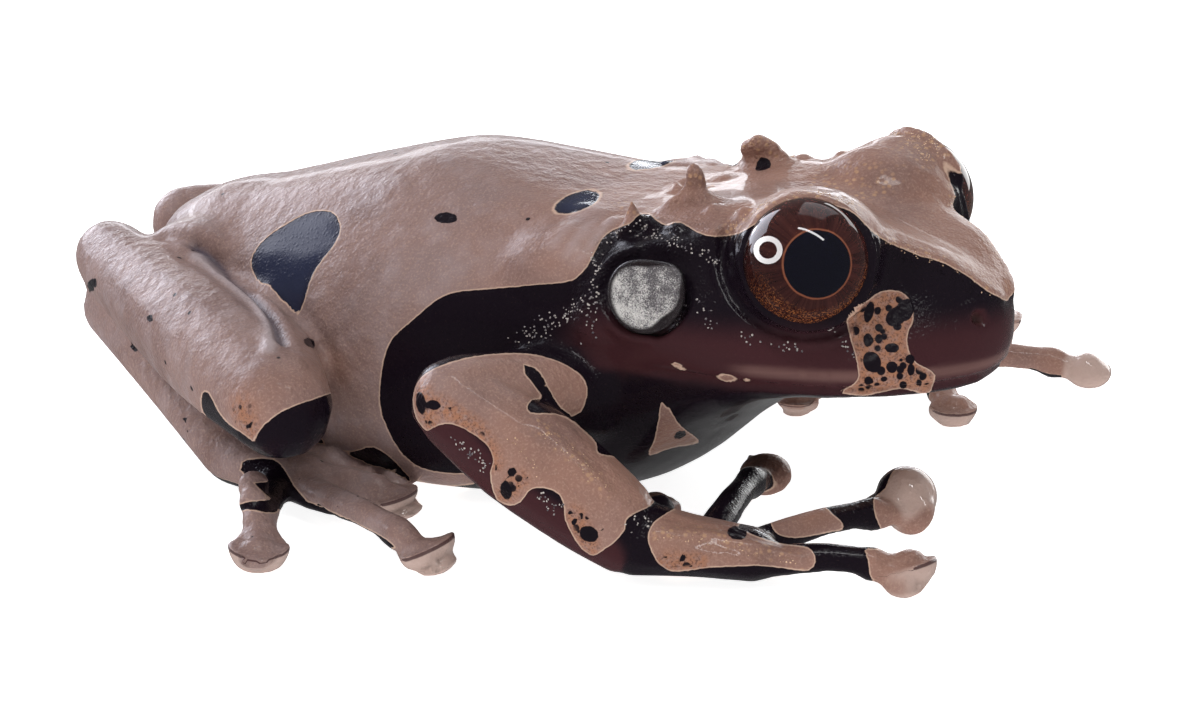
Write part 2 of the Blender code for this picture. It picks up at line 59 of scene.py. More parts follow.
# %% [markdown]
# ## The camera
#
# Markings and creases are placed by where the photograph shows them, so the camera comes first. It could be
# matched by eye, but its place was worked out from the frog: it looks 27 degrees forward of square on to the
# right side and 18 degrees down, from 26 cm. The frog's own origin, on the floor under its middle line, is
# found from the right eye, and places given to `spot` are in millimetres from there.

# %% Camera
PHOTO_WIDE = 1200
PHOTO_MIDDLE = np.array([600.0, 359.0])
AZIMUTH, ELEVATION = math.radians(27), math.radians(18)
DISTANCE = 260 * MM
FOCAL_PIXELS = 4160
SENSOR = 36.0
EYE_RIGHT = Vector((17.5, -7.75, 17.75))
TARGET_HEIGHT = 7.0


def middle_of(node):
    low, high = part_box(node)
    return (low + high) / 2


origin = middle_of("eye_right") - EYE_RIGHT * MM


def spot(x, y, z):
    return origin + Vector((x, y, z)) * MM


target = spot(0, 0, TARGET_HEIGHT)
camera_right = np.array([math.cos(AZIMUTH), math.sin(AZIMUTH), 0])
camera_back = np.array([math.sin(AZIMUTH) * math.cos(ELEVATION), -math.cos(AZIMUTH) * math.cos(ELEVATION),
                        math.sin(ELEVATION)])
camera_up = np.cross(camera_back, camera_right)
camera_place = np.array(target) + camera_back * DISTANCE

camera = bpy.data.objects.new("camera", bpy.data.cameras.new("camera"))
camera.data.sensor_width = SENSOR
camera.data.lens = FOCAL_PIXELS / PHOTO_WIDE * SENSOR
camera.data.clip_start, camera.data.clip_end = 0.01, 10
camera.location = camera_place
camera.rotation_mode = "QUATERNION"
camera.rotation_quaternion = Vector(camera_back).to_track_quat("Z", "Y")
bpy.context.scene.collection.objects.link(camera)
bpy.context.scene.camera = camera


def to_photo(points):
    """Where points of the frame fall in the photograph, in its pixels."""
    arm = np.asarray(points, float) - camera_place
    depth = -(arm @ camera_back)
    across, up = arm @ camera_right / depth, arm @ camera_up / depth
    return np.stack([PHOTO_MIDDLE[0] + across * FOCAL_PIXELS, PHOTO_MIDDLE[1] - up * FOCAL_PIXELS], axis=-1)


def sight_line(pixel):
    """The direction from the camera through a pixel of the photograph."""
    across, down = (np.asarray(pixel, float) - PHOTO_MIDDLE) / FOCAL_PIXELS
    ray = camera_right * across - camera_up * down - camera_back
    return Vector(ray / np.linalg.norm(ray))


print("the right eye falls at", to_photo(middle_of("eye_right")).round(), "in the photograph")


# %% [markdown]
# ## The skin
#
# A frog's skin is one wet sheet that runs from snout to toe discs. It could be sculpted by hand or lofted
# limb by limb. Here the solids are copied, swollen a little so that the narrow gaps between them close, and
# covered by a voxel remesh, which welds them into one even net. Small forms are added to the solids first.
# The spines of the crown are thickened with strings of balls, because their tips are thinner than the net's
# cells. Each digit's pad is a short drum, wider at the top, and the knobs at the joints are balls.

# %% Small forms of the crown and the digits
# Crown spines: tip (x, y), its height on the right and on the left, length, half-width at the foot and at
# the tip, lean backwards, lean outwards.
CROWN = [
    (8.60, 4.7, 22.00, 21.50, 2.6, 0.70, 0.52, 0.10, 0.05),
    (7.75, 5.2, 20.80, 20.40, 1.6, 0.62, 0.42, 0.35, 0.25),
    (9.55, 4.6, 21.25, 21.05, 1.8, 0.66, 0.46, -0.30, 0.00),
    (6.15, 8.4, 20.35, 19.70, 1.6, 0.55, 0.28, 0.20, 0.30),
    (10.6, 6.4, 19.80, 20.05, 1.2, 0.72, 0.50, 0.00, 0.10),
    (13.1, 7.1, 19.70, 20.10, 1.2, 0.72, 0.50, 0.00, 0.20),
]
# Pads of the digits: middle (x, y, z), radius, thickness, and how their axis leans along x and y.
PADS = [
    (-9.8, -25.0, 0.80, 1.85, 1.45, 0.08, -0.05), (-0.8, -20.7, 0.95, 1.85, 1.00, -0.48, -0.05),
    (-7.1, -13.8, 0.95, 1.65, 0.80, -0.30, -0.05), (-15.4, -7.2, 0.60, 1.20, 0.80, 0.00, 0.00),
    (-9.8, -10.8, 0.65, 1.25, 0.85, 0.00, 0.00), (11.6, -0.2, 1.40, 1.45, 1.20, 0.30, 0.20),
    (7.8, -8.0, 0.65, 1.20, 0.80, 0.00, 0.00), (26.0, -11.2, 1.10, 1.60, 1.10, -0.40, 0.10),
    (-8.8, 25.4, 0.62, 1.80, 1.00, 0.05, 0.00), (0.1, 20.6, 0.85, 1.80, 0.80, -0.20, 0.00),
    (-5.6, 14.0, 0.80, 1.65, 0.80, -0.15, 0.00), (-15.4, 7.2, 0.60, 1.20, 0.80, 0.00, 0.00),
    (-9.8, 10.8, 0.65, 1.25, 0.85, 0.00, 0.00), (6.8, 14.9, 0.65, 1.20, 0.80, 0.00, 0.00),
    (16.8, 17.6, 0.75, 1.50, 1.00, 0.00, 0.00), (12.2, 36.9, 0.75, 1.55, 1.00, 0.00, 0.00),
]
# Balls: middle (x, y, z) and radius. Two fingers end in a round tip. The knobs are at the digits' last
# joints, three more are lobes at the foot of the tallest spine, and the last two are on the long toe.
ROUND_TIPS = [(21.5, -1.5, 1.85, 1.90), (21.8, 28.6, 1.15, 1.20)]
KNOBS = [
    *ROUND_TIPS, (-11.0, -23.3, 2.00, 0.85), (-2.9, -20.4, 1.60, 0.90), (-9.3, -14.5, 1.40, 0.80),
    (-12.4, -12.5, 1.35, 0.75), (-10.1, 23.3, 1.45, 0.80), (-1.9, 20.3, 1.45, 0.85), (-7.7, 14.4, 1.40, 0.80),
    (23.8, -11.6, 1.30, 0.90), (20.4, -3.4, 1.50, 0.95), (12.3, 35.0, 1.30, 0.85), (8.0, 4.5, 20.50, 0.62),
    (9.3, 4.7, 20.60, 0.62), (8.7, 4.3, 20.95, 0.60), (-12.3, -21.4, 3.40, 0.95), (-11.7, -22.4, 2.80, 0.90),
]
print(len(CROWN), "spines on each side,", len(PADS), "pads,", len(KNOBS), "balls")

# %% Helpers for objects
def new_object(name, mesh):
    obj = bpy.data.objects.new(name, mesh)
    bpy.context.scene.collection.objects.link(obj)
    return obj


def object_from(name, shape):
    mesh = bpy.data.meshes.new(name)
    shape.to_mesh(mesh)
    shape.free()
    return new_object(name, mesh)


def apply_modifiers(obj):
    mesh = bpy.data.meshes.new_from_object(obj.evaluated_get(bpy.context.evaluated_depsgraph_get()))
    obj.modifiers.clear()
    obj.data = mesh
    return obj


def tree_of(obj):
    mesh = obj.data
    return BVHTree.FromPolygons([v.co[:] for v in mesh.vertices], [p.vertices[:] for p in mesh.polygons])


# %% Balls and drums
BALLS = 7
EYE_BED = 3.45 * MM
PAD_FOOT = 0.88


def spine_tip(spine, side):
    x, y, right, left, *_ = spine
    return spot(x, y * side, left if side > 0 else right)


def crown_balls():
    """Strings of balls down each spine of the crown, from its tip to below the skin, as one mesh."""
    shape = bmesh.new()
    for side in (-1, 1):
        for spine in CROWN:
            *_, length, foot, tip, back, out = spine
            lean = Vector((-back, out * side, 1)).normalized()
            summit = spine_tip(spine, side) - lean * tip * MM
            for share in np.linspace(0, 1, BALLS):
                place = Matrix.Translation(summit - lean * share * length * MM)
                radius = (tip + (foot - tip) * share) * MM
                bmesh.ops.create_icosphere(shape, subdivisions=2, radius=radius, matrix=place)
    return shape


def pads_and_knobs():
    shape = bmesh.new()
    for x, y, z, radius, thick, lean_x, lean_y in PADS:
        turn = Vector((lean_x, lean_y, 1)).to_track_quat("Z", "Y").to_matrix().to_4x4()
        place = Matrix.Translation(spot(x, y, z)) @ turn
        bmesh.ops.create_cone(shape, cap_ends=True, segments=32, radius1=radius * PAD_FOOT * MM,
                              radius2=radius * MM, depth=thick * MM, matrix=place)
    for x, y, z, radius in KNOBS:
        place = Matrix.Translation(spot(x, y, z))
        bmesh.ops.create_icosphere(shape, subdivisions=3, radius=radius * MM, matrix=place)
    return shape


def eye_beds():
    """Balls a little smaller than the eyes, so that the skin passes behind them without a hollow."""
    shape = bmesh.new()
    for name in ("eye_left", "eye_right"):
        place = Matrix.Translation(middle_of(name))
        bmesh.ops.create_icosphere(shape, subdivisions=5, radius=EYE_BED, matrix=place)
    return shape


additions = [crown_balls(), pads_and_knobs(), eye_beds()]
print("added to the solids:", [len(addition.faces) for addition in additions], "faces")

# %% One net over all
VOXEL = 0.27 * MM
SWELL = 0.2 * MM


def swollen_copy():
    """All flesh solids and additions in one mesh, swollen and covered by an even net."""
    shape = bmesh.new()
    for name in flesh:
        shape.from_mesh(nodes[name].data)
    bmesh.ops.remove_doubles(shape, verts=shape.verts, dist=1e-6)
    for addition in additions:
        mesh = bpy.data.meshes.new("addition")
        addition.to_mesh(mesh)
        shape.from_mesh(mesh)
        addition.free()
        bpy.data.meshes.remove(mesh)
    obj = object_from("form", shape)
    swell = obj.modifiers.new("swell", "DISPLACE")
    swell.direction, swell.mid_level, swell.strength = "NORMAL", 0, SWELL
    remesh = obj.modifiers.new("net", "REMESH")
    remesh.mode, remesh.voxel_size = "VOXEL", VOXEL
    return apply_modifiers(obj)


def edge_array(mesh):
    edges = np.zeros(len(mesh.edges) * 2, np.int32)
    mesh.edges.foreach_get("vertices", edges)
    return edges.reshape(-1, 2)


def outer_shell(obj):
    """Keeps the largest connected net and drops pockets that the remesh sealed inside."""
    edges = edge_array(obj.data)
    island = np.arange(len(obj.data.vertices))
    while True:
        low = np.minimum(island[edges[:, 0]], island[edges[:, 1]])
        new = island.copy()
        np.minimum.at(new, edges[:, 0], low)
        np.minimum.at(new, edges[:, 1], low)
        new = new[new]
        if (new == island).all():
            break
        island = new
    names, sizes = np.unique(island, return_counts=True)
    shape = bmesh.new()
    shape.from_mesh(obj.data)
    shape.verts.ensure_lookup_table()
    drop = [shape.verts[i] for i in np.flatnonzero(island != names[sizes.argmax()])]
    bmesh.ops.delete(shape, geom=drop, context="VERTS")
    shape.to_mesh(obj.data)
    shape.free()
    return obj


form = outer_shell(swollen_copy())
print("form:", len(form.data.vertices), "points")


# %% [markdown]
# ## Smoothing by numbers
#
# Blender's Smooth modifier shrinks thin toes as it smooths. A pair of steps that pull in and then push out
# again keeps their girth. It needs only each point's neighbours, so it is worked out here on arrays. The
# trunk and the long bones are smoothed for longer than the head and the digits, whose small forms are real,
# and the spines, pads and knobs least of all. The tallest spine on the right is then drawn in to a thin
# horn.

# %% A net of points
class Net:
    """A mesh's points as an array, with their neighbours and normals."""

    def __init__(self, obj):
        self.mesh = obj.data
        self.count = len(self.mesh.vertices)
        self.points = np.zeros(self.count * 3)
        self.mesh.vertices.foreach_get("co", self.points)
        self.points = self.points.reshape(-1, 3)
        self.edges = edge_array(self.mesh)
        self.valence = np.bincount(self.edges.ravel(), minlength=self.count)

    def average(self, values):
        """Each point's mean of its neighbours' values."""
        a, b = self.edges.T
        columns = values.reshape(self.count, -1).T
        total = [np.bincount(a, c[b], self.count) + np.bincount(b, c[a], self.count) for c in columns]
        return (np.stack(total, axis=1) / self.valence[:, None]).reshape(values.shape)

    def smooth(self, rounds, weight=1.0, share=0.5, regain=0.52):
        weight = np.broadcast_to(np.asarray(weight, float).reshape(-1, 1), (self.count, 1))
        for _ in range(rounds):
            self.points += weight * share * (self.average(self.points) - self.points)
            self.points -= weight * regain * (self.average(self.points) - self.points)

    def soften(self, values, rounds):
        for _ in range(rounds):
            values = 0.5 * values + 0.5 * self.average(values)
        return values

    def store(self):
        self.mesh.vertices.foreach_set("co", self.points.ravel())
        self.mesh.update()

    def normals(self):
        self.store()
        found = np.zeros(self.count * 3)
        self.mesh.vertex_normals.foreach_get("vector", found)
        return found.reshape(-1, 3)


net = Net(form)
print("net:", net.count, "points,", len(net.edges), "edges")


# %% Distances and fades
def nearness(points, name, reach=3 * MM):
    """Each point's distance to a solid of the frame, no more than reach."""
    low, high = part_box(name)
    close = ((points > np.array(low) - reach) & (points < np.array(high) + reach)).all(axis=1)
    found, tree = np.full(len(points), reach), tree_of(nodes[name])
    for i in np.flatnonzero(close):
        distance = tree.find_nearest(points[i], reach)[3]
        if distance is not None:
            found[i] = distance
    return found


def nearest_of(points, names):
    return np.min([nearness(points, name) for name in names], axis=0)


def distance_to(points, place):
    return np.linalg.norm(points - np.array(place), axis=1)


def fade(values, low, high):
    """0 below low, 1 above high, and a smooth rise between; low may be the larger one."""
    share = np.clip((values - low) / (high - low), 0, 1)
    return share * share * (3 - 2 * share)


DIGITS = [n for n in flesh if n.startswith(("finger", "toe", "hand", "foot"))]
detail = np.minimum(nearest_of(net.points, ["head"]), nearest_of(net.points, DIGITS))
print(int((detail < MM).sum()), "points within 1 mm of the head, hands, feet and digits")

# %% Smoothing
crisp_places = [spine_tip(spine, side) for spine in CROWN for side in (-1, 1)]
crisp_places += [spot(x, y, z) for x, y, z, *_ in PADS + KNOBS]
from_crisp = np.min([distance_to(net.points, place) for place in crisp_places], axis=0)
net.smooth(10, weight=0.15 + 0.85 * fade(from_crisp, 2 * MM, 3 * MM))
net.smooth(70, weight=net.soften(fade(detail, 0.4 * MM, 2 * MM), 20))
net.points -= net.normals() * SWELL
net.smooth(2)
print("smoothed, with", int((from_crisp < 2 * MM).sum()), "points kept crisp")

# %% The tallest spine
SKIRT_SHARE, SKIRT_REACH, SKIRT_DEPTH = 0.30, 2.6, 2.5


def draw_in(points, spine, side):
    """Draws in the skirt round one spine of the crown, and leaves its core as it is."""
    *_, tip, back, out = spine
    lean = np.array(Vector((-back, out * side, 1)).normalized())
    arm = points - np.array(spine_tip(spine, side))
    along = arm @ lean / MM
    across = arm - (arm @ lean)[:, None] * lean
    reach = np.linalg.norm(across, axis=1) / MM
    wanted = tip + np.maximum(reach - tip, 0) * SKIRT_SHARE
    share = fade(along, -SKIRT_DEPTH, -1.6) * fade(reach, SKIRT_REACH, 2.0)
    points += across * (share * (wanted / np.maximum(reach, 1e-6) - 1) * (reach > tip))[:, None]


draw_in(net.points, CROWN[0], side=-1)
net.smooth(2)
net.store()
print("the tallest spine rises to", round((net.points[:, 2].max() - origin.z) / MM, 1), "mm")


# %% [markdown]
# ## A net that is fine where the detail is
#
# One piece may have 200,000 triangles, too few for such a fine net all over. So the finished form is covered
# again by a coarser net. Its faces are cut in four on the head, the forearms and hands, the pads of the toes
# and the grooves of the legs. Round the eyes, the ears and the freckled cheeks they are cut once more, so
# that lids and folds can be drawn there. A Shrinkwrap modifier then lays the new points on the form.

# %% Places and sides
EYE_RIGHT_PLACE, EYE_LEFT_PLACE = (np.array(middle_of(n)) for n in ("eye_right", "eye_left"))
EAR_RIGHT_PLACE = np.array(middle_of("eardrum_right"))
CHEEK_PLACE = np.array(spot(22.5, -7.6, 13.2))
LID_FACING = (0.41, -0.85, 0.31)
midline = (EYE_RIGHT_PLACE[1] + EYE_LEFT_PLACE[1]) / 2


def on_right(points):
    """Points of the left half, mirrored to the right half."""
    twin = np.array(points, float)
    twin[..., 1] = midline - np.abs(twin[..., 1] - midline)
    return twin


print("the midline lies at y =", round(midline / MM, 2), "mm")


# %% Finer where the detail is
def cut_finer(obj, chosen):
    """Cuts in four the faces whose middles are chosen by a function of their places."""
    shape = bmesh.new()
    shape.from_mesh(obj.data)
    wanted = chosen(np.array([f.calc_center_median() for f in shape.faces]))
    edges = {e for f, take in zip(shape.faces, wanted) if take for e in f.edges}
    bmesh.ops.subdivide_edges(shape, edges=list(edges), cuts=1, use_grid_fill=True)
    bmesh.ops.triangulate(shape, faces=[f for f in shape.faces if len(f.verts) > 4])
    shape.to_mesh(obj.data)
    shape.free()
    return int(wanted.sum())


# Grooves and edges of the near leg, in pixels of the photograph.
FINE_LINES = [[(196, 256), (246, 299), (268, 352)], [(190, 240), (236, 280), (281, 342)],
              [(162, 234), (199, 240), (246, 277), (302, 318), (326, 350)], [(288, 490), (376, 536)]]


def pixels_from(pixels, path):
    """Distances in the photograph from some pixels to a path."""
    best = np.full(len(pixels), np.inf)
    for a, b in zip(np.array(path, float), np.array(path[1:], float)):
        along = np.clip(((pixels - a) @ (b - a)) / ((b - a) @ (b - a)), 0, 1)
        gap = pixels - a - along[:, None] * (b - a)
        best = np.minimum(best, np.hypot(gap[:, 0], gap[:, 1]))
    return best


def on_fine_parts(points):
    fine = [n for n in flesh if n.startswith(("head", "hand", "finger", "forearm"))]
    pads = np.min([distance_to(points, spot(x, y, z)) for x, y, z, *_ in PADS + KNOBS], axis=0)
    lines = np.min([pixels_from(to_photo(on_right(points)), path) for path in FINE_LINES], axis=0)
    return (nearest_of(points, fine) < 0.5 * MM) | (pads < 2.2 * MM) | (lines < 11)


def round_eye_ear_and_cheek(points):
    twin = on_right(points)
    lids = distance_to(twin, EYE_RIGHT_PLACE) < 5.6 * MM
    lids &= (twin - EYE_RIGHT_PLACE) @ LID_FACING > -1.5 * MM
    ears, cheeks = distance_to(twin, EAR_RIGHT_PLACE) < 3.2 * MM, distance_to(twin, CHEEK_PLACE) < 3.4 * MM
    return lids | ears | cheeks


print(len(FINE_LINES), "lines on the legs are cut finer")

# %% The skin laid on the form
COARSE_VOXEL = 0.545 * MM


def laid_over(form):
    skin = new_object("frog_skin", form.data.copy())
    net = skin.modifiers.new("net", "REMESH")
    net.mode, net.voxel_size = "VOXEL", COARSE_VOXEL
    apply_modifiers(skin)
    print("coarse net:", len(skin.data.polygons), "faces")
    print("cut in four:", cut_finer(skin, on_fine_parts), "then", cut_finer(skin, round_eye_ear_and_cheek))
    lay = skin.modifiers.new("lay", "SHRINKWRAP")
    lay.target = form
    return apply_modifiers(skin)


skin = laid_over(form)
bpy.data.objects.remove(form)
skin.data.calc_loop_triangles()
print("adapted net:", len(skin.data.loop_triangles), "triangles")


# %% [markdown]
# ## Folds, rims and creases
#
# Folds are drawn as a sculptor draws them: a stroke that raises or sinks the skin along a line. Each stroke
# is a short run of pixels of the photograph. Sight lines through them hit the skin and give its path in
# space, and the left half takes the same stroke, mirrored. The mouth is one more groove, along a nearly
# level plane.

# %% Lines of the folds
# Height (below zero for a groove) and half-width in millimetres, then the pixels that the stroke runs
# through.
FOLDS = {
    "ear fold": (0.50, 0.75, [(712, 240), (690, 247), (664, 246), (632, 252), (608, 268), (594, 288),
                              (586, 312), (588, 336)]),
    "ear fold knobs": (0.35, 0.45, [(651, 224), (654, 228)]),
    "ear fold knobs 2": (0.35, 0.40, [(676, 230), (679, 232)]),
    "ear fold top": (0.22, 0.40, [(716, 236), (700, 233), (688, 228), (667, 228), (640, 220), (620, 232),
                                  (603, 246), (590, 268), (578, 292)]),
    "ear rim": (0.28, 0.32, [(640, 254), (615, 264), (602, 282), (600, 302), (608, 322), (626, 336),
                             (650, 340)]),
    "canthus": (0.30, 0.50, [(884, 240), (905, 250), (922, 256), (940, 262), (963, 275), (985, 290),
                             (998, 298)]),
    "lore": (-0.45, 1.60, [(893, 270), (925, 285), (955, 300)]),
    "nostril rim": (0.22, 0.42, [(970, 309), (978, 307), (986, 312)]),
    "nostril": (-0.90, 0.30, [(979, 317), (981, 319)]),
    "lid fold": (0.16, 0.30, [(722, 226), (715, 250), (716, 275), (728, 303), (750, 326), (780, 340),
                              (812, 344), (842, 338), (866, 322), (882, 298)]),
    "lid groove": (-0.18, 0.26, [(729, 232), (722, 252), (723, 276), (735, 302), (756, 321), (782, 333),
                                 (812, 336), (840, 330), (862, 314), (875, 292)]),
    "lid wrinkle 1": (0.12, 0.16, [(733, 238), (730, 250), (732, 262)]),
    "lid wrinkle 2": (0.12, 0.16, [(742, 232), (737, 244), (737, 258)]),
    "front corner": (0.20, 0.30, [(876, 240), (880, 255), (879, 270)]),
    "crown lobe 1": (0.45, 0.36, [(676, 188), (678, 191)]),
    "crown lobe 2": (0.40, 0.34, [(712, 182), (713, 185)]),
    "crown lobe 3": (0.30, 0.30, [(688, 199), (690, 201)]),
    "crown lobe 4": (0.28, 0.28, [(702, 196), (703, 198)]),
    "neck fold 1": (0.32, 0.40, [(612, 222), (596, 240), (580, 262)]),
    "neck fold 2": (0.30, 0.40, [(600, 212), (584, 232), (566, 256)]),
    "neck fold 3": (0.26, 0.40, [(588, 206), (572, 224), (552, 246)]),
    "shank edge": (0.30, 0.40, [(196, 256), (220, 278), (246, 299), (263, 317), (270, 336), (268, 352)]),
    "shank groove": (-0.60, 0.42, [(190, 240), (212, 258), (236, 280), (258, 300), (274, 318), (281, 342)]),
    "thigh groove": (-0.45, 0.50, [(162, 234), (199, 240), (246, 277), (302, 318), (326, 350)]),
    "toe groove": (-0.30, 0.28, [(290, 493), (318, 509), (346, 521), (374, 534)]),
    "hand ridge": (0.22, 0.40, [(655, 533), (680, 536), (705, 534), (730, 539), (765, 549), (800, 560)]),
    "forearm ridge": (0.18, 0.45, [(536, 424), (560, 444), (583, 466), (606, 490)]),
}
MOUTH_POINT, MOUTH_TILT, MOUTH_BACK = spot(18.0, 0, 10.75), 0.05, spot(9.5, 0, 0).x
MOUTH_DEPTH, MOUTH_WIDE = 0.30 * MM, 0.22
print(len(FOLDS), "folds and grooves")


# %% Strokes
def through(points, steps, closed=False):
    """A smooth run of points through the given ones (Catmull-Rom)."""
    points = np.array(points, float)
    count, found = len(points), []
    for i in range(count if closed else count - 1):
        before, start, end, after = (points[k % count] if closed else points[min(max(k, 0), count - 1)]
                                     for k in (i - 1, i, i + 1, i + 2))
        for t in np.arange(steps) / steps:
            bend = 2 * before - 5 * start + 4 * end - after
            found.append(0.5 * (2 * start + (end - before) * t + bend * t**2
                                + (3 * start - before - 3 * end + after) * t**3))
    if not closed:
        found.append(points[-1])
    return np.array(found)


def laid_on(tree, pixels, steps=4):
    """The path on the skin under a run of the photograph's pixels."""
    hits = [tree.ray_cast(Vector(camera_place), sight_line(p))[0] for p in through(pixels, steps)]
    return np.array([h for h in hits if h is not None])


def path_distance(points, path):
    best = np.full(len(points), np.inf)
    for a, b in zip(path, path[1:]):
        along = np.clip(((points - a) @ (b - a)) / max((b - a) @ (b - a), 1e-12), 0, 1)
        best = np.minimum(best, np.linalg.norm(points - a - along[:, None] * (b - a), axis=1))
    return best


def above_mouth_plane(points):
    """Height above the mouth's plane in millimetres."""
    return (points[:, 2] - MOUTH_POINT.z + MOUTH_TILT * (points[:, 0] - MOUTH_POINT.x)) / MM


net = Net(skin)
net.smooth(2)
right_points = on_right(net.points)
skin_tree = tree_of(skin)
paths, lift = {}, np.zeros(net.count)
for name, (height, width, pixels) in FOLDS.items():
    paths[name] = laid_on(skin_tree, pixels)
    distance = path_distance(right_points, paths[name])
    lift += height * MM * np.exp(-(distance / (width * MM)) ** 2)
ahead = fade(net.points[:, 0], MOUTH_BACK - 1.5 * MM, MOUTH_BACK + 1.5 * MM)
lift -= MOUTH_DEPTH * ahead * np.exp(-(above_mouth_plane(net.points) / MOUTH_WIDE) ** 2)
net.points += net.normals() * lift[:, None]
print(len(paths), "strokes, lifting the skin by", round(lift.max() / MM, 2), "mm at most")


# %% [markdown]
# ## Cupped pads
#
# A tree frog's pad is a cushion with a flat top and a rim, and it narrows below. The voxel remesh rounds the
# drums off, so their points are moved once more, each by its place along the pad's axis and across it. Only
# the half that faces away from the hand or foot is shaped, since the digit joins the other. How far a point
# lies above or below the rim is kept, and the material draws a dark line there.

# %% Pads
PAD_RIM, PAD_NARROWING, PAD_FLATNESS = 0.42, 0.28, 0.85
FAR_FROM_RIM = 9.0


def from_pad(x, y, z, lean_x, lean_y):
    """Each point's place along a pad's axis, and from that axis, in millimetres."""
    axis = np.array(Vector((lean_x, lean_y, 1)).normalized())
    arm = (net.points - np.array(spot(x, y, z))) / MM
    along = arm @ axis
    return axis, along, arm - along[:, None] * axis


pad_line = np.full(net.count, FAR_FROM_RIM)
for x, y, z, radius, thick, lean_x, lean_y in PADS:
    axis, along, flat = from_pad(x, y, z, lean_x, lean_y)
    across = np.linalg.norm(flat, axis=1)
    limb, side = "hand" if x > 5 else "foot", "left" if y > 0.5 else "right"
    outward = np.array(spot(x, y, z)) - np.array(middle_of(f"{limb}_{side}"))
    outward -= (outward @ axis) * axis
    outward /= np.linalg.norm(outward)
    tip_side = fade(flat @ outward / np.maximum(across, 0.1), -0.35, 0.15)
    round_pad = tip_side * fade(across, radius + 0.8, radius + 0.4)
    rim = PAD_RIM * thick
    bowl = radius * (1 - PAD_NARROWING * np.clip((rim - along) / (rim + 0.5 * thick), 0, 1) ** 2)
    share = round_pad * fade(along, rim + 0.35, rim) * fade(across, 0.5 * radius, 0.8 * radius)
    share *= fade(along, -thick, -0.6 * thick)
    net.points += flat * (share * (bowl / np.maximum(across, 0.1) - 1) * MM)[:, None]
    share = round_pad * fade(along, rim, rim + 0.2) * fade(along, rim + 1.0, rim + 0.6)
    share *= fade(across, 0.5 * radius, 0.7 * radius)
    net.points -= axis * (share * (along - rim) * PAD_FLATNESS * MM)[:, None]
    outside = np.maximum(0.6 * radius - across, 0) + np.maximum(across - radius - 0.5, 0)
    height = along - rim + 0.12
    height += np.where(height > 0, 1, -1) * (3 * outside + 2 * (1 - tip_side))
    pad_line = np.where(np.abs(height) < np.abs(pad_line), height, pad_line)
print(len(PADS), "pads cupped, with", int((np.abs(pad_line) < 0.15).sum()), "points on their rims")


# %% [markdown]
# ## Lids
#
# The eyeball bulges out between its lids. The skin over it can't be cut away without an open edge, so it is
# drawn back to inside the ball instead, wherever it lies far enough out along the direction that the lids
# face. The brow hangs lower towards the front, and the lower lid covers more the lower it is. The far lid is
# open a little wider than the near one, except at its top, as the photograph shows.

# %% Lids
LID_BED, LID_START, LID_END = 3.35, 0.6, 1.4
side_of = np.where(net.points[:, 1] > midline, 1, -1)
eye_places = np.where(side_of[:, None] > 0, EYE_LEFT_PLACE, EYE_RIGHT_PLACE)
arm = net.points - eye_places
reach = np.linalg.norm(arm, axis=1) / MM
height_from_eye = arm[:, 2] / MM
ahead_of_eye = LID_FACING[0] * arm[:, 0] - LID_FACING[1] * side_of * arm[:, 1] + LID_FACING[2] * arm[:, 2]
ahead_of_eye /= MM
toward_front = (0.86 * arm[:, 0] - 0.50 * side_of * arm[:, 1]) / MM
hood = 0.18 * np.maximum(-height_from_eye, 0) + 0.22 * np.maximum(toward_front, 0)
hood += (side_of > 0) * (0.60 * np.maximum(height_from_eye - 1.3, 0) - 0.45)
open_lid = np.maximum(reach - LID_BED, 0) * fade(reach, 5.6, 4.9)
open_lid *= fade(ahead_of_eye - hood, LID_START, LID_END)
net.points -= arm * (open_lid / np.maximum(reach, 1))[:, None]
net.smooth(1)
net.points[:, 2] = np.maximum(net.points[:, 2], 0)
net.store()
print("lids opened by", round(open_lid.max(), 2), "mm at most")


# %% [markdown]
# ## Which part of the body?
#
# A marking belongs to one part: the pale bar on the flank must not run on over the arm in front of it. Each
# point's distance to every solid tells which part it lies on, and by how much.

# %% Parts
PARTS = {
    "trunk": ("head", "lower_jaw", "torso"),
    "arm": ("upper_arm", "forearm"),
    "hand": ("hand", "finger"),
    "thigh": ("thigh",),
    "shank": ("shank",),
    "tarsus": ("tarsus",),
    "foot": ("foot", "toe"),
}


def gap_to(part):
    return nearest_of(net.points, [n for n in flesh if n.startswith(PARTS[part])]) / MM


part_gap = {part: gap_to(part) for part in PARTS}


def hold(part):
    """How much nearer a point lies to this part than to the next one, in millimetres."""
    others = np.min([gap for name, gap in part_gap.items() if name != part], axis=0)
    return others - part_gap[part]


holds = {part: net.soften(hold(part), 2) for part in PARTS}
print({part: int((h > 0).sum()) for part, h in holds.items()})


# %% [markdown]
# ## The left arm in the photograph's place
#
# The left side of the trunk and of the legs mirrors the right. The left arm reaches out in another pose, so
# its points are first carried, bone by bone, to where they would be on the right arm.

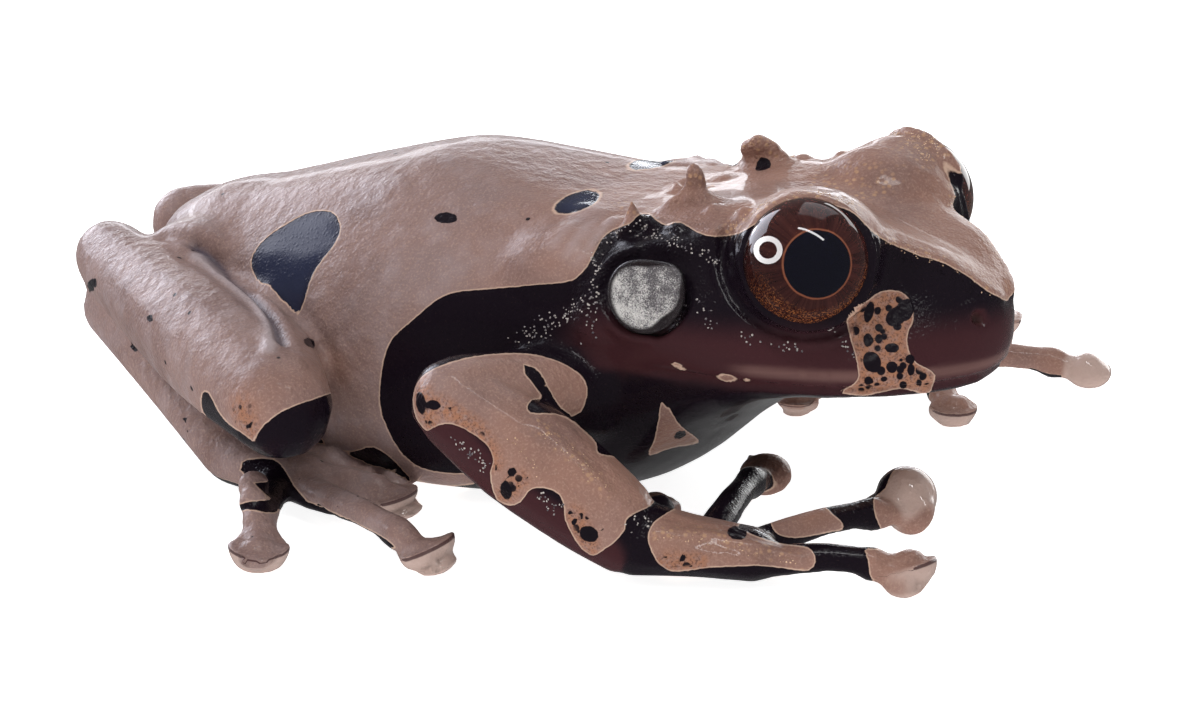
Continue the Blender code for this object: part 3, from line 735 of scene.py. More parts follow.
# %% Carry the left arm over
# Each bone's ends in millimetres: on the right arm, then on the left.
BONES = {
    "upper_arm_left": ((5.4, -9.8, 8.6), (0.2, -18.8, 9.8), (5.4, 9.8, 8.6), (-1.8, 18.8, 9.4)),
    "forearm_left": ((0.2, -18.8, 9.8), (11.0, -17.2, 2.7), (-1.8, 18.8, 9.4), (6.8, 24.4, 2.7)),
    "hand_left": ((11.0, -17.2, 2.7), (17.2, -13.9, 1.6), (6.8, 24.4, 2.7), (11.6, 27.2, 1.6)),
    "finger_left_1": ((13.2, -16.0, 2.3), (7.8, -8.0, 1.0), (8.5, 25.4, 2.3), (6.8, 14.6, 1.0)),
    "finger_left_2": ((14.4, -15.4, 2.0), (12.0, -1.2, 1.6), (9.4, 25.9, 2.0), (16.8, 17.4, 1.0)),
    "finger_left_3": ((16.3, -14.4, 1.8), (22.2, -2.2, 1.0), (10.9, 26.8, 1.8), (21.8, 28.9, 1.0)),
    "finger_left_4": ((17.2, -13.9, 1.6), (25.9, -11.8, 1.0), (11.6, 27.2, 1.6), (12.2, 37.6, 1.0)),
}


def bone_axes(start, end):
    run = np.array(spot(*end)) - np.array(spot(*start))
    length = np.linalg.norm(run)
    run /= length
    side = np.cross((0, 0, 1), run)
    side /= np.linalg.norm(side)
    return np.array(spot(*start)), np.stack([run, side, np.cross(run, side)]), length


def carry(points, bone):
    start_right, end_right, start_left, end_left = BONES[bone]
    to, to_axes, to_length = bone_axes(start_right, end_right)
    base, axes, length = bone_axes(start_left, end_left)
    local = (points - base) @ axes.T
    local *= (to_length / length, -1, 1)
    return to + local @ to_axes


marked_points = on_right(net.points)
bone_gap = np.stack([nearness(net.points, bone) for bone in BONES])
on_left_arm = (net.points[:, 1] > midline) & (np.maximum(holds["arm"], holds["hand"]) > -0.5)
weight = np.exp(-bone_gap / (0.4 * MM)) * on_left_arm
carried = sum(w[:, None] * carry(net.points, bone) for w, bone in zip(weight, BONES))
total = weight.sum(axis=0)
marked_points[on_left_arm] = (carried / np.maximum(total, 1e-12)[:, None])[on_left_arm]
pixels_at = to_photo(marked_points)
print(int(on_left_arm.sum()), "points of the left arm carried over")


# %% [markdown]
# ## Markings
#
# The frog is nearly black, with tan fields that have thin cream edges. Painting them would need an image.
# Instead each field is an outline of a few points, laid over the skin as the camera sees it, and every point
# of the skin stores its distance to the nearest edge. The material then draws the cream line, the field and
# its ragged edge from that one number, as sharp as one likes. Small dark spots are ovals.

# %% Outlines of the trunk and head
# Corners in pixels of the photograph. An oval is its middle, half-width, half-height, and turn in degrees.
BACK_FIELD = [
    (1060, 303), (1012, 302), (998, 297), (985, 290), (965, 275), (940, 262), (922, 257), (905, 250),
    (893, 245), (880, 238), (868, 228), (854, 214), (838, 207), (818, 203), (798, 204), (780, 210),
    (764, 219), (748, 229), (735, 235), (716, 237), (700, 234), (688, 227), (677, 222), (667, 226),
    (657, 221), (648, 214), (638, 216), (630, 224), (612, 231), (602, 240), (594, 255), (585, 270),
    (572, 281), (540, 285), (493, 289), (453, 293), (433, 303), (418, 316), (404, 328), (392, 340),
    (384, 360), (380, 393), (382, 413), (390, 433), (400, 450), (415, 464), (440, 472), (475, 474),
    (475, 484), (440, 486), (410, 478), (393, 460), (372, 447), (352, 452), (325, 445), (290, 400),
    (150, 330), (20, 300), (20, 20), (1060, 20),
]
CHEEK_FIELD = [
    (877, 293), (888, 290), (902, 292), (911, 302), (914, 318), (908, 335), (909, 350), (917, 363),
    (934, 372), (934, 383), (928, 395), (915, 392), (900, 389), (880, 393), (862, 396), (838, 392),
    (852, 385), (858, 376), (856, 360), (852, 345), (848, 330), (847, 318), (855, 306), (868, 300),
]
CHEST_FIELD = [(664, 401), (672, 412), (680, 425), (698, 439), (696, 444), (672, 448), (648, 456), (654, 440),
               (658, 420), (660, 405)]
LIP_SPOTS = [(678, 366, 9, 3, 25), (727, 378, 11, 4, 10), (747, 380, 4, 2, 10)]
HIP_PATCH = [(252, 266), (256, 250), (272, 234), (300, 217), (318, 211), (334, 214), (340, 229), (333, 246),
             (320, 262), (310, 280), (304, 300), (297, 314), (283, 300), (262, 285)]
SHOULDER_OVAL = (577, 202, 23, 9, -20)
BACK_SPOT = (446, 218, 12, 6, 3)
CHEST_SPOT = (680, 435, 7, 4, -30)
CHEEK_HOLES = [(869, 312, 5, 11, 15), (897, 316, 13, 9, -35), (905, 310, 9, 12, 20), (868, 340, 5, 7, 0),
               (879, 339, 4, 5, 0), (892, 348, 7, 5, 0), (872, 362, 9, 11, -20), (892, 367, 6, 6, 40),
               (910, 359, 5, 5, 0), (911, 370, 4, 6, 0), (903, 385, 4, 4, 0), (884, 379, 4, 3, 0),
               (870, 381, 4, 3, 0), (901, 360, 2, 2, 0), (919, 383, 3, 4, 0)]
print(len(BACK_FIELD), "corners on the back,", len(CHEEK_FIELD), "on the cheek")

# %% Outlines of the limbs
UPPER_ARM_FIELD = [
    (527, 354), (547, 357), (567, 365), (583, 377), (588, 390), (584, 407), (577, 416), (567, 413),
    (557, 404), (548, 388), (540, 373), (532, 367), (527, 366), (510, 361),
]
FOREARM_FIELD = [
    (527, 354), (513, 353), (480, 355), (447, 363), (423, 375), (414, 390), (413, 407), (418, 422),
    (427, 431), (435, 427), (447, 424), (460, 427), (477, 437), (488, 447), (493, 460), (490, 472),
    (492, 488), (498, 501), (512, 506), (523, 500), (530, 490), (543, 488), (557, 493), (563, 503),
    (565, 520), (573, 537), (583, 550), (593, 556), (604, 550), (614, 543), (625, 530), (628, 518),
    (647, 508), (658, 500), (661, 493), (655, 487), (647, 486), (637, 477), (627, 467), (617, 457),
    (607, 455), (598, 452), (596, 442), (582, 428), (567, 417), (553, 413), (540, 413), (530, 412),
    (528, 406), (533, 400), (543, 398), (533, 383), (525, 373), (524, 366),
]
FOREARM_HOLES = [(421, 403, 5, 12, -10), (433, 405, 9, 5, 10), (449, 409, 3, 3, 0), (462, 417, 2, 2, 0),
                 (512, 472, 5, 5, 0), (506, 490, 6, 10, -10), (527, 477, 2, 2, 0), (571, 512, 4, 3, 0),
                 (581, 516, 4, 3, 30), (588, 517, 3, 3, 0), (574, 522, 3, 4, 0), (589, 534, 10, 8, 20),
                 (603, 530, 2, 2, 0), (496, 468, 2, 3, 0), (520, 486, 2, 2, 0), (570, 467, 2, 2, 0)]
HAND_FIELD = [
    (648, 533), (653, 523), (663, 515), (677, 507), (690, 501), (703, 499), (717, 500), (730, 505),
    (742, 512), (746, 520), (738, 527), (750, 533), (763, 538), (780, 543), (797, 545), (810, 548),
    (816, 559), (813, 568), (803, 571), (780, 568), (757, 566), (730, 567), (707, 568), (687, 571),
    (670, 571), (658, 563), (652, 553), (648, 543),
]
HAND_HOLES = [(737, 533, 10, 7, 10), (665, 558, 3, 2, 0), (677, 560, 3, 2, 0), (683, 558, 3, 4, 0),
              (699, 556, 2, 2, 0), (690, 566, 3, 2, 0), (673, 565, 2, 2, 0), (740, 562, 2, 2, 0)]
THIRD_FINGER_FIELD = [(769, 518), (773, 512), (785, 508), (803, 507), (823, 506), (832, 513), (843, 523),
                      (842, 530), (827, 533), (807, 537), (790, 538), (777, 534), (772, 527)]
THIRD_DISC_FIELD = [(873, 500), (885, 488), (900, 466), (960, 466), (960, 535), (893, 535), (879, 526)]
FOURTH_DISC_FIELD = [(865, 548), (880, 549), (890, 540), (905, 535), (960, 535), (960, 600), (895, 590),
                     (872, 580), (868, 562)]
FIRST_DISC_FIELD = [(738, 460), (750, 440), (810, 440), (812, 500), (760, 500), (742, 488)]
# Under the knee: the knee's own dark skin, and painted shade where the knee hangs over the tarsus and foot.
KNEE_DARK_AND_SHADE = [(256, 442), (262, 428), (277, 415), (293, 407), (313, 400), (345, 392), (352, 420), (340, 460),
              (300, 470), (258, 466)]
SHANK_WEDGE = [(203, 392), (209, 394), (217, 410), (228, 424), (247, 437), (264, 453), (253, 451), (227, 434),
               (208, 418), (202, 408)]
SHANK_SPOTS = [(92, 285, 5, 8, 30), (150, 318, 4, 4, 0), (225, 331, 2, 2, 0), (240, 333, 2, 2, 0),
               (237, 420, 2, 5, 0), (247, 427, 3, 3, 0), (262, 418, 2, 2, 0), (255, 423, 2, 3, 0)]
THIGH_SPOTS = [(206, 245, 8, 5, 30), (312, 343, 9, 5, 20)]
TARSUS_SPOTS = [(178, 440, 10, 5, 30), (185, 420, 4, 3, 0), (134, 345, 4, 9, -25)]
FOOT_PATCH = [(238, 466), (248, 460), (266, 459), (279, 463), (295, 488), (307, 503), (300, 512), (285, 512),
              (277, 503), (266, 494), (254, 482), (242, 471)]
TOE_PATCHES = [
    [(230, 509), (246, 503), (262, 501), (277, 500), (277, 511), (266, 512), (248, 509), (234, 513)],
    [(275, 506), (300, 500), (335, 514), (382, 537), (392, 548), (340, 528), (300, 516)],
]

print(len(FOREARM_FIELD), "corners on the forearm,", len(HAND_FIELD), "on the hand")


# %% Distances to outlines
PIXELS_PER_MM = 16.3
FAR_PIXELS = 30


def signed_distance(outline):
    """Each point's distance in millimetres to a closed outline in the photograph, above zero inside it."""
    corners = through(outline, 3, closed=True)
    low, high = corners.min(axis=0) - FAR_PIXELS, corners.max(axis=0) + FAR_PIXELS
    near = ((pixels_at > low) & (pixels_at < high)).all(axis=1)
    place = pixels_at[near]
    distance, inside = np.full(len(place), float(FAR_PIXELS)), np.zeros(len(place), bool)
    for a, b in zip(corners, np.roll(corners, -1, axis=0)):
        run = b - a
        along = np.clip(((place - a) @ run) / max(run @ run, 1e-9), 0, 1)
        gap = place - a - along[:, None] * run
        distance = np.minimum(distance, np.hypot(gap[:, 0], gap[:, 1]))
        crosses = (a[1] > place[:, 1]) != (b[1] > place[:, 1])
        rise = run[1] if run[1] else 1e-9
        inside ^= crosses & (place[:, 0] < run[0] * (place[:, 1] - a[1]) / rise + a[0])
    found = np.full(net.count, -float(FAR_PIXELS))
    found[near] = np.where(inside, distance, -distance)
    return found / PIXELS_PER_MM


def oval(x, y, wide, high, turn):
    """The same for an oval."""
    cos, sin = math.cos(math.radians(turn)), math.sin(math.radians(turn))
    dx, dy = pixels_at[:, 0] - x, pixels_at[:, 1] - y
    reach = np.hypot((dx * cos + dy * sin) / wide, (dy * cos - dx * sin) / high)
    return (1 - reach) * min(wide, high) / PIXELS_PER_MM


def union(*fields):
    return np.max(fields, axis=0)


def without(field, *holes):
    return np.min([field, *[-h for h in holes]], axis=0)


hip, shoulder = signed_distance(HIP_PATCH), oval(*SHOULDER_OVAL)
cheek, knee_dark_and_shade = signed_distance(CHEEK_FIELD), signed_distance(KNEE_DARK_AND_SHADE)
print(int((hip > 0).sum()), "points on the hip patches,", int((cheek > 0).sum()), "on the cheek fields")


# %% [markdown]
# ## Where the skin is tan
#
# The fields are joined part by part. What the photograph doesn't show follows a rule: the underside is dark,
# the pads are tan all round, and the brow is tan up to the line where the lid begins. A dark hole counts only
# on its own part too, so that a spot on the arm doesn't show through on the flank behind it.

# %% The tan of the trunk and head
LID_RADIUS, LID_RADIUS_LOW = 3.72, 4.32
BROW_HEIGHT, BROW_BACK, BROW_FRONT, BROW_INSIDE = 17.8, 11, 23, 0.8
height_on_head = (right_points[:, 2] - origin.z) / MM
along_head = (right_points[:, 0] - origin.x) / MM
lid_reach = (right_points - EYE_RIGHT_PLACE) @ LID_FACING / MM
under = (net.normals()[:, 2] + 0.62) * 3
brow_floor = BROW_HEIGHT + 3 * fade(along_head, 15, 12) + 2 * fade(along_head, 19.6, 21)
inner_brow = np.min([-BROW_INSIDE - lid_reach, height_on_head - brow_floor, along_head - BROW_BACK,
                     BROW_FRONT - along_head], axis=0)
trunk = union(signed_distance(BACK_FIELD), cheek, signed_distance(CHEST_FIELD), inner_brow,
              *[oval(*o) for o in LIP_SPOTS])
trunk = without(trunk, hip, shoulder)
lid_line = np.where(net.points[:, 1] > midline, 1.5, 1.0)
lid_edge = LID_RADIUS + (LID_RADIUS_LOW - LID_RADIUS) * fade(height_on_head, 18.8, 16.8)
off_lid = np.maximum(distance_to(right_points, EYE_RIGHT_PLACE) / MM - lid_edge, lid_line - lid_reach)
trunk = np.min([trunk, off_lid, under + 1.2], axis=0)
print("the trunk is", round(100 * (trunk[holds["trunk"] > 0] > 0).mean()), "% tan")

# %% The tan of the limbs
SECOND_PAD, SECOND_PAD_REACH = spot(11.6, -0.2, 1.4), 2.6
THIRD_LEFT_REACH = 1.0
on_pad = np.max([radius + 0.5 - distance_to(net.points, spot(x, y, z)) / MM for x, y, z, radius, *_ in PADS],
                axis=0)
pad_under = np.maximum(under, on_pad)
arm = union(signed_distance(UPPER_ARM_FIELD), signed_distance(FOREARM_FIELD))
hand = union(*[signed_distance(field) for field in (HAND_FIELD, THIRD_FINGER_FIELD, THIRD_DISC_FIELD,
                                                    FOURTH_DISC_FIELD, FIRST_DISC_FIELD)])
on_second = nearest_of(net.points, ["finger_right_2"]) < nearest_of(net.points, ["hand_right"])
on_second &= net.points[:, 1] < midline
second_pad = SECOND_PAD_REACH - distance_to(net.points, SECOND_PAD) / MM
hand = np.where(on_second, np.minimum(hand, second_pad), hand)
third_left = THIRD_LEFT_REACH - nearest_of(net.points, ["finger_left_3"]) / MM
hand = union(hand, np.minimum(third_left, pad_under), on_pad + 0.35)
# Under the knee the legs are dark: their own dark skin, with painted shade.
fields = {
    "trunk": trunk, "arm": arm, "hand": hand, "thigh": without(under, knee_dark_and_shade),
    "shank": without(under, knee_dark_and_shade, signed_distance(SHANK_WEDGE)), "tarsus": without(under, knee_dark_and_shade),
    "foot": without(pad_under, signed_distance(FOOT_PATCH), *[signed_distance(p) for p in TOE_PATCHES]),
}
OVERLAP = 0.3
tan = np.max([np.minimum(field, holds[part] + OVERLAP) for part, field in fields.items()], axis=0)
print("tan covers", round(100 * (tan > 0).mean()), "% of the skin's points")

# %% Dark spots
SPINE_PIT, SPINE_PIT_RADIUS = spot(9.3, 3.7, 19.85), 0.55
spots = {
    "trunk": [BACK_SPOT, CHEST_SPOT, *CHEEK_HOLES], "arm": FOREARM_HOLES, "hand": HAND_HOLES,
    "thigh": THIGH_SPOTS, "shank": SHANK_SPOTS, "tarsus": TARSUS_SPOTS,
}
hole = np.max([np.minimum(union(*[oval(*o) for o in ovals]), holds[part])
               for part, ovals in spots.items()], axis=0)
hole = np.maximum(hole, SPINE_PIT_RADIUS - distance_to(net.points, SPINE_PIT) / MM)
print(sum(len(ovals) for ovals in spots.values()) + 1, "dark spots")


# %% [markdown]
# ## Tints
#
# The dark skin is maroon on the lips, the cheeks and under the arms, and blue-black on the hip and the
# shoulder. The tan turns orange where it is freckled, violet and paler towards the tail, and glassy on the
# pads. Such slow changes are stored as numbers from 0 to 1, and the material mixes them in.

# %% Tints of the dark skin
ARM_UNDERSIDE = [(430, 442), (500, 512), (590, 566)]


def pixel_distance(path):
    """Distance in millimetres to a path in the photograph."""
    return pixels_from(pixels_at, path) / PIXELS_PER_MM


def fold_distance(name):
    """Distance in millimetres to one of the folds, on both sides of the body."""
    return path_distance(right_points, paths[name]) / MM


on_trunk = fade(holds["trunk"], -0.2, 0.3)
above_mouth = above_mouth_plane(right_points)
cheeks = 0.6 * fade(along_head, 2, 7) * fade(height_on_head, 15.5, 12.5)
cheeks *= fade(above_mouth, -0.8, 0.0) * on_trunk
lip = fade(along_head, 10, 16) * np.exp(-((above_mouth - 0.9) / 0.8) ** 2) * on_trunk
nostril = fade(fold_distance("nostril"), 0.6, 0.35)
underarm = fade(holds["arm"], -0.3, 0.1) * fade(pixel_distance(ARM_UNDERSIDE), 2.8, 1.6)
warm = np.max([cheeks, 0.9 * lip, 0.78 * nostril, 0.62 * underarm], axis=0)
blue = np.maximum(fade(hip, -0.3, 0.3), fade(shoulder, -0.2, 0.2))
print("maroon on", round(100 * (warm > 0.3).mean()), "% of the points,",
      "blue on", round(100 * (blue > 0.5).mean(), 1), "%")

# %% Tints of the tan skin
KNEE_LINE = [(245, 412), (290, 392), (335, 372)]
ORANGE_PATHS = [[(418, 378), (424, 400), (430, 425)], [(440, 405), (478, 430), (494, 462)],
                [(505, 495), (520, 480)], [(575, 515), (590, 550)], [(240, 405), (250, 430)],
                [(665, 562), (700, 562)]]
# Gold flecks: on the lid edge the skin's own gold granules; along the canthus and the ridges of the hand and
# forearm, painted glints.
GOLD_AND_GLINT_PATHS = [[(728, 230), (765, 206), (795, 197), (825, 195), (856, 206)],
              [(875, 236), (905, 248), (940, 260), (985, 288), (1000, 298)], [(625, 205), (632, 215)],
              [(655, 533), (700, 534), (760, 548), (800, 562)], [(536, 424), (560, 444), (606, 490)],
              [(677, 190), (695, 168), (712, 186)]]
knee = np.exp(-(pixel_distance(KNEE_LINE) / 2.2) ** 2)
violet = fade(along_head, 8, -8) * (1 - 0.8 * knee)
# Pale strips: a painted highlight along the shank's edge, and on the neck folds their own pale stripes with
# painted glints.
neck_folds = [0.7 * fade(fold_distance(f"neck fold {i}"), 0.5, 0.1) for i in (1, 2, 3)]
pale = np.max([fade(fold_distance("shank edge"), 0.6, 0.2), *neck_folds], axis=0)
# Painted shade along the groove between the shank and the thigh.
gloom = fade(fold_distance("shank groove"), 0.5, 0.15)
orange = np.max([fade(pixel_distance(p), 0.9, 0.2) for p in ORANGE_PATHS] + [fade(cheek, -0.1, 0.3)], axis=0)
gold = np.max([fade(pixel_distance(p), 0.7, 0.1) for p in GOLD_AND_GLINT_PATHS], axis=0)
print("orange on", round(100 * (orange > 0.5).mean(), 1), "% of the points")

# %% Glassy pads
disc = np.zeros(net.count)
for x, y, z, radius, thick, lean_x, lean_y in PADS:
    _, along, flat = from_pad(x, y, z, lean_x, lean_y)
    across = np.linalg.norm(flat, axis=1)
    on_face = fade(across, radius + 0.5, radius + 0.1)
    disc = np.maximum(disc, on_face * fade(along, thick * 0.45, thick * 0.25))
for x, y, z, radius in ROUND_TIPS:
    away = distance_to(net.points, spot(x, y, z)) / MM
    disc = np.maximum(disc, fade(away, radius + 0.6, radius + 0.3))
disc *= fade(np.maximum(holds["hand"], holds["foot"]), -0.5, 0.0)
print("glassy on", round(100 * (disc > 0.5).mean(), 1), "% of the points")

# %% Grain and wetness
CROWN_MIDDLE, CROWN_OUT = 8.6, 4.7
GRAINY_FOLDS = ("ear fold", "ear fold top", "canthus")
from_crown = np.hypot(along_head - CROWN_MIDDLE, (right_points[:, 1] - midline) / MM + CROWN_OUT)
grainy = [fade(fold_distance(name), 1.1, 0.3) for name in GRAINY_FOLDS] + [fade(from_crown, 4.0, 1.5)]
grain = (0.45 + 0.55 * np.max(grainy, axis=0)) * (1 - 0.8 * warm) * (1 - 0.7 * blue)
ahead_of_ear = fade(along_head, 4, 9) * on_trunk
head_wet = 0.13 + (0.27 - 0.17 * fade(tan, 0, 0.3)) * ahead_of_ear
hand_wet, arm_wet = 0.30 * fade(holds["hand"], -0.5, 0.0), 0.20 * fade(holds["arm"], -0.5, 0.0)
wet = np.max([head_wet, hand_wet, arm_wet, 0.85 * disc], axis=0)


def store(name, values):
    attribute = skin.data.attributes.new(name, "FLOAT", "POINT")
    attribute.data.foreach_set("value", np.asarray(values, np.float32))


for name, values in {"tan": tan, "hole": hole, "pad": pad_line}.items():
    store(name, values)
for name, values in {"warm": warm, "blue": blue, "orange": orange, "disc": disc, "grain": grain,
                     "violet": violet, "pale": pale, "gloom": gloom, "gold": gold, "wet": wet}.items():
    store(name, net.soften(values, 1))
print("stored", [a.name for a in skin.data.attributes if a.data_type == "FLOAT"])


# %% [markdown]
# ## A small language for materials
#
# A shader's sums are easier to read as sums. `Value` wraps a socket, and an operator used on it adds the Math
# node that works it out. `Paint` holds one material, and its `node` method adds any other node.

# %% Value
def operator(operation, swapped=False):
    def act(self, other):
        terms = (other, self) if swapped else (self, other)
        return self.paint.node("ShaderNodeMath", {"operation": operation}, dict(enumerate(terms)))
    return act


class Value:
    """A socket's number, which can be used in sums."""

    def __init__(self, paint, socket):
        self.paint, self.socket = paint, socket

    __add__, __radd__ = operator("ADD"), operator("ADD", True)
    __sub__, __rsub__ = operator("SUBTRACT"), operator("SUBTRACT", True)
    __mul__, __rmul__ = operator("MULTIPLY"), operator("MULTIPLY", True)
    upper = operator("MAXIMUM")


print("Value has", [name for name in vars(Value) if name in dir(float) or name == "upper"])


# %% Paint
class Paint:
    """A material being mixed."""

    def __init__(self, name):
        self.material = bpy.data.materials.new(name)
        self.material.use_nodes = True
        self.tree = self.material.node_tree
        self.shader = self.tree.nodes["Principled BSDF"]

    def node(self, kind, settings=None, inputs=None, output=0):
        made = self.tree.nodes.new(kind)
        for key, value in (settings or {}).items():
            setattr(made, key, value)
        for key, value in (inputs or {}).items():
            self.feed(made.inputs[key], value)
        return Value(self, made.outputs[output])

    def feed(self, socket, value):
        if isinstance(value, Value):
            self.tree.links.new(value.socket, socket)
        else:
            socket.default_value = (*value, 1) if socket.type == "RGBA" and len(value) == 3 else value

    def stored(self, name):
        return self.node("ShaderNodeAttribute", {"attribute_name": name}, output="Fac")

    def vector(self, operation, inputs):
        return self.node("ShaderNodeVectorMath", {"operation": operation}, inputs)

    def place(self, middle=(0, 0, 0)):
        """Object coordinates in millimetres, from a middle given in metres."""
        position = self.node("ShaderNodeTexCoord", output="Object")
        from_middle = self.vector("SUBTRACT", {0: position, 1: tuple(middle)})
        return self.vector("SCALE", {0: from_middle, "Scale": 1 / MM})

    def noise(self, place, scale, detail, roughness=0.5):
        inputs = {"Vector": place, "Scale": scale, "Detail": detail, "Roughness": roughness}
        return self.node("ShaderNodeTexNoise", None, inputs)

    def cells(self, place, scale):
        """Distance to the nearest of many strewn points."""
        return self.node("ShaderNodeTexVoronoi", None, {"Vector": place, "Scale": scale}, "Distance")

    def rise(self, value, low, high):
        """0 below low, 1 above high, with a smooth rise between; low may be the larger one."""
        ends = {"Value": value, "From Min": min(low, high), "From Max": max(low, high),
                "To Min": 0.0 if low < high else 1.0, "To Max": 1.0 if low < high else 0.0}
        return self.node("ShaderNodeMapRange", {"interpolation_type": "SMOOTHSTEP"}, ends)

    def mix(self, share, first, second):
        """A colour between two colours."""
        return self.node("ShaderNodeMix", {"data_type": "RGBA"}, {0: share, 6: first, 7: second}, 2)

    def dot(self, a, b):
        return self.node("ShaderNodeVectorMath", {"operation": "DOT_PRODUCT"}, {0: a, 1: b}, "Value")

    def bump(self, height, distance):
        return self.node("ShaderNodeBump", None, {"Height": height, "Distance": distance, "Strength": 1.0})

    def finish(self, colour, roughness, **others):
        """Feeds the shader's sockets, named with underscores for their spaces, and gives the material."""
        for socket, value in {"Base Color": colour, "Roughness": roughness, **others}.items():
            self.feed(self.shader.inputs[socket.replace("_", " ")], value)
        return self.material


print("Paint has", [name for name in vars(Paint) if not name.startswith("_")])


# %% [markdown]
# ## The skin's material
#
# Wet skin has two glosses: its own soft sheen, broken up by granules a fifth of a millimetre wide, and a
# film of water over it, which is the coat. The tan field comes from the stored distance, with noise added so
# that its edge wanders a little. Its cream line is the strip between 0 and about 0.12 mm inside the edge,
# and each pad's dark rim is the strip within about 0.15 mm of the rim's own stored distance. Image textures
# could hold all of this, but they would blur close up and would have to be painted first.

# %% Skin material
TAN, MAUVE, CREAM = (0.275, 0.152, 0.118), (0.235, 0.165, 0.158), (0.56, 0.39, 0.30)
ORANGE, BLACK, MAROON = (0.32, 0.150, 0.090), (0.0075, 0.0045, 0.0080), (0.044, 0.015, 0.018)
SLATE, GLASSY, LIP = (0.024, 0.028, 0.056), (0.50, 0.375, 0.33), (0.150, 0.080, 0.072)
PALE, GOLD, UMBER = (0.46, 0.40, 0.42), (0.50, 0.30, 0.17), (0.135, 0.078, 0.072)
GRANULE_DEPTH = 0.08 * MM


def skin_paint():
    paint = Paint("frog_skin")
    place = paint.place()
    slow, ragged = paint.noise(place, 0.25, 2), paint.noise(place, 2.6, 2)
    fine = paint.noise(place, 7.0, 2, 0.6)
    orange, violet, warm, pad = [paint.stored(name) for name in ("orange", "violet", "warm", "pad")]
    tan_edge = paint.stored("tan") + (ragged - 0.5) * 0.10
    field = paint.rise(tan_edge, -0.02, 0.03)
    line = field * paint.rise(tan_edge, 0.12, 0.05) * (1 - orange * 0.5)

    # Dark spots: freckles towards the tail, pits in the orange, and the measured ones.
    freckles = paint.rise(paint.cells(place, 0.42) + (slow - 0.5) * 0.25, 0.060, 0.035)
    freckles = freckles * paint.rise(violet, 0.1, 0.4)
    pits = paint.rise(paint.cells(place, 1.3) - orange * 0.36 + (slow - 0.5) * 0.1, 0.02, -0.06) * orange
    measured = paint.rise(paint.stored("hole") + (ragged - 0.5) * 0.12, -0.01, 0.03)
    spots = (freckles.upper(pits) * paint.rise(tan_edge, 0.2, 0.4)).upper(measured)

    # The tan, from its ground up.
    tan_colour = paint.mix(violet * 0.75 + paint.rise(slow, 0.4, 0.7) * 0.25, TAN, MAUVE)
    tan_colour = paint.mix(paint.rise(paint.noise(place, 0.16, 3), 0.46, 0.66) * 0.45, tan_colour, UMBER)
    tan_colour = paint.mix(paint.rise(fine, 0.45, 0.8) * 0.3, tan_colour, CREAM)
    blotches = paint.rise(paint.noise(place, 0.55, 3), 0.46, 0.66) * violet
    tan_colour = paint.mix(blotches * 0.14, tan_colour, PALE)
    tan_colour = paint.mix(orange * paint.rise(ragged, 0.3, 0.6), tan_colour, ORANGE)
    tan_colour = paint.mix(orange * paint.rise(fine, 0.48, 0.36) * 0.6, tan_colour, MAROON)
    flecks = paint.rise(paint.cells(place, 2.4), 0.45, 0.15)
    # Gold flecks: the lid's own gold granules, and painted glints on the canthus and the ridges.
    tan_colour = paint.mix(flecks * paint.stored("gold") * 0.6, tan_colour, GOLD)
    tan_colour = paint.mix(paint.stored("disc") * 0.8, tan_colour, GLASSY)
    tan_colour = paint.mix(line * 0.85, tan_colour, CREAM)
    # Painted shade in the shank's groove, in slate.
    tan_colour = paint.mix(paint.stored("gloom") * 0.75, tan_colour, SLATE)
    tan_colour = paint.mix(paint.rise(pad.upper(pad * -1), 0.15, 0.08) * 0.85, tan_colour, MAROON)
    # Painted highlight along the shank's edge; on the neck folds, pale stripes and painted glints.
    tan_colour = paint.mix(paint.stored("pale") * 0.6, tan_colour, PALE)

    # The dark skin, and the two together.
    dark = paint.mix(paint.rise(warm, 0, 0.6), BLACK, MAROON)
    dark = paint.mix(paint.rise(warm, 0.6, 1.0), dark, LIP)
    dark = paint.mix(paint.stored("blue"), dark, SLATE)
    dark = paint.mix(paint.rise(fine, 0.6, 0.9) * 0.08, dark, TAN)
    colour = paint.mix(field, dark, tan_colour)
    colour = paint.mix(spots, colour, BLACK)

    granules = paint.rise(paint.cells(place, 3.4), 0.5, 0.05)
    creases = paint.noise(place, 1.1, 2) * field * 2.5
    normal = paint.bump((granules * 0.6 + fine) * paint.stored("grain") + creases, GRANULE_DEPTH)
    roughness = 0.15 + field * 0.20 + (fine - 0.5) * 0.15
    return paint.finish(colour, roughness, Normal=normal, Coat_Weight=paint.stored("wet"),
                        Coat_Roughness=0.05, Coat_IOR=1.33, Specular_IOR_Level=0.12)


skin.data.shade_smooth()
skin.data.materials.clear()
skin.data.materials.append(skin_paint())
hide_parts(*flesh)
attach(skin, "root")
print("skin dressed with", len(skin.data.materials[0].node_tree.nodes), "nodes")


# %% [markdown]
# ## Glands
#
# Wet grains stand on the dark skin under the eye, round the eardrum and on the arms, and each one glints.
# Finer gold grains lie on the tan along the brows and the hand. There are hundreds of both, so Geometry
# Nodes strew them: points scattered on the skin by a stored density, each with a small flattened ball. One
# tree serves both, with the density, the number, the radius and the seed as its inputs. It ends in a plain
# mesh, since the export takes no instances.

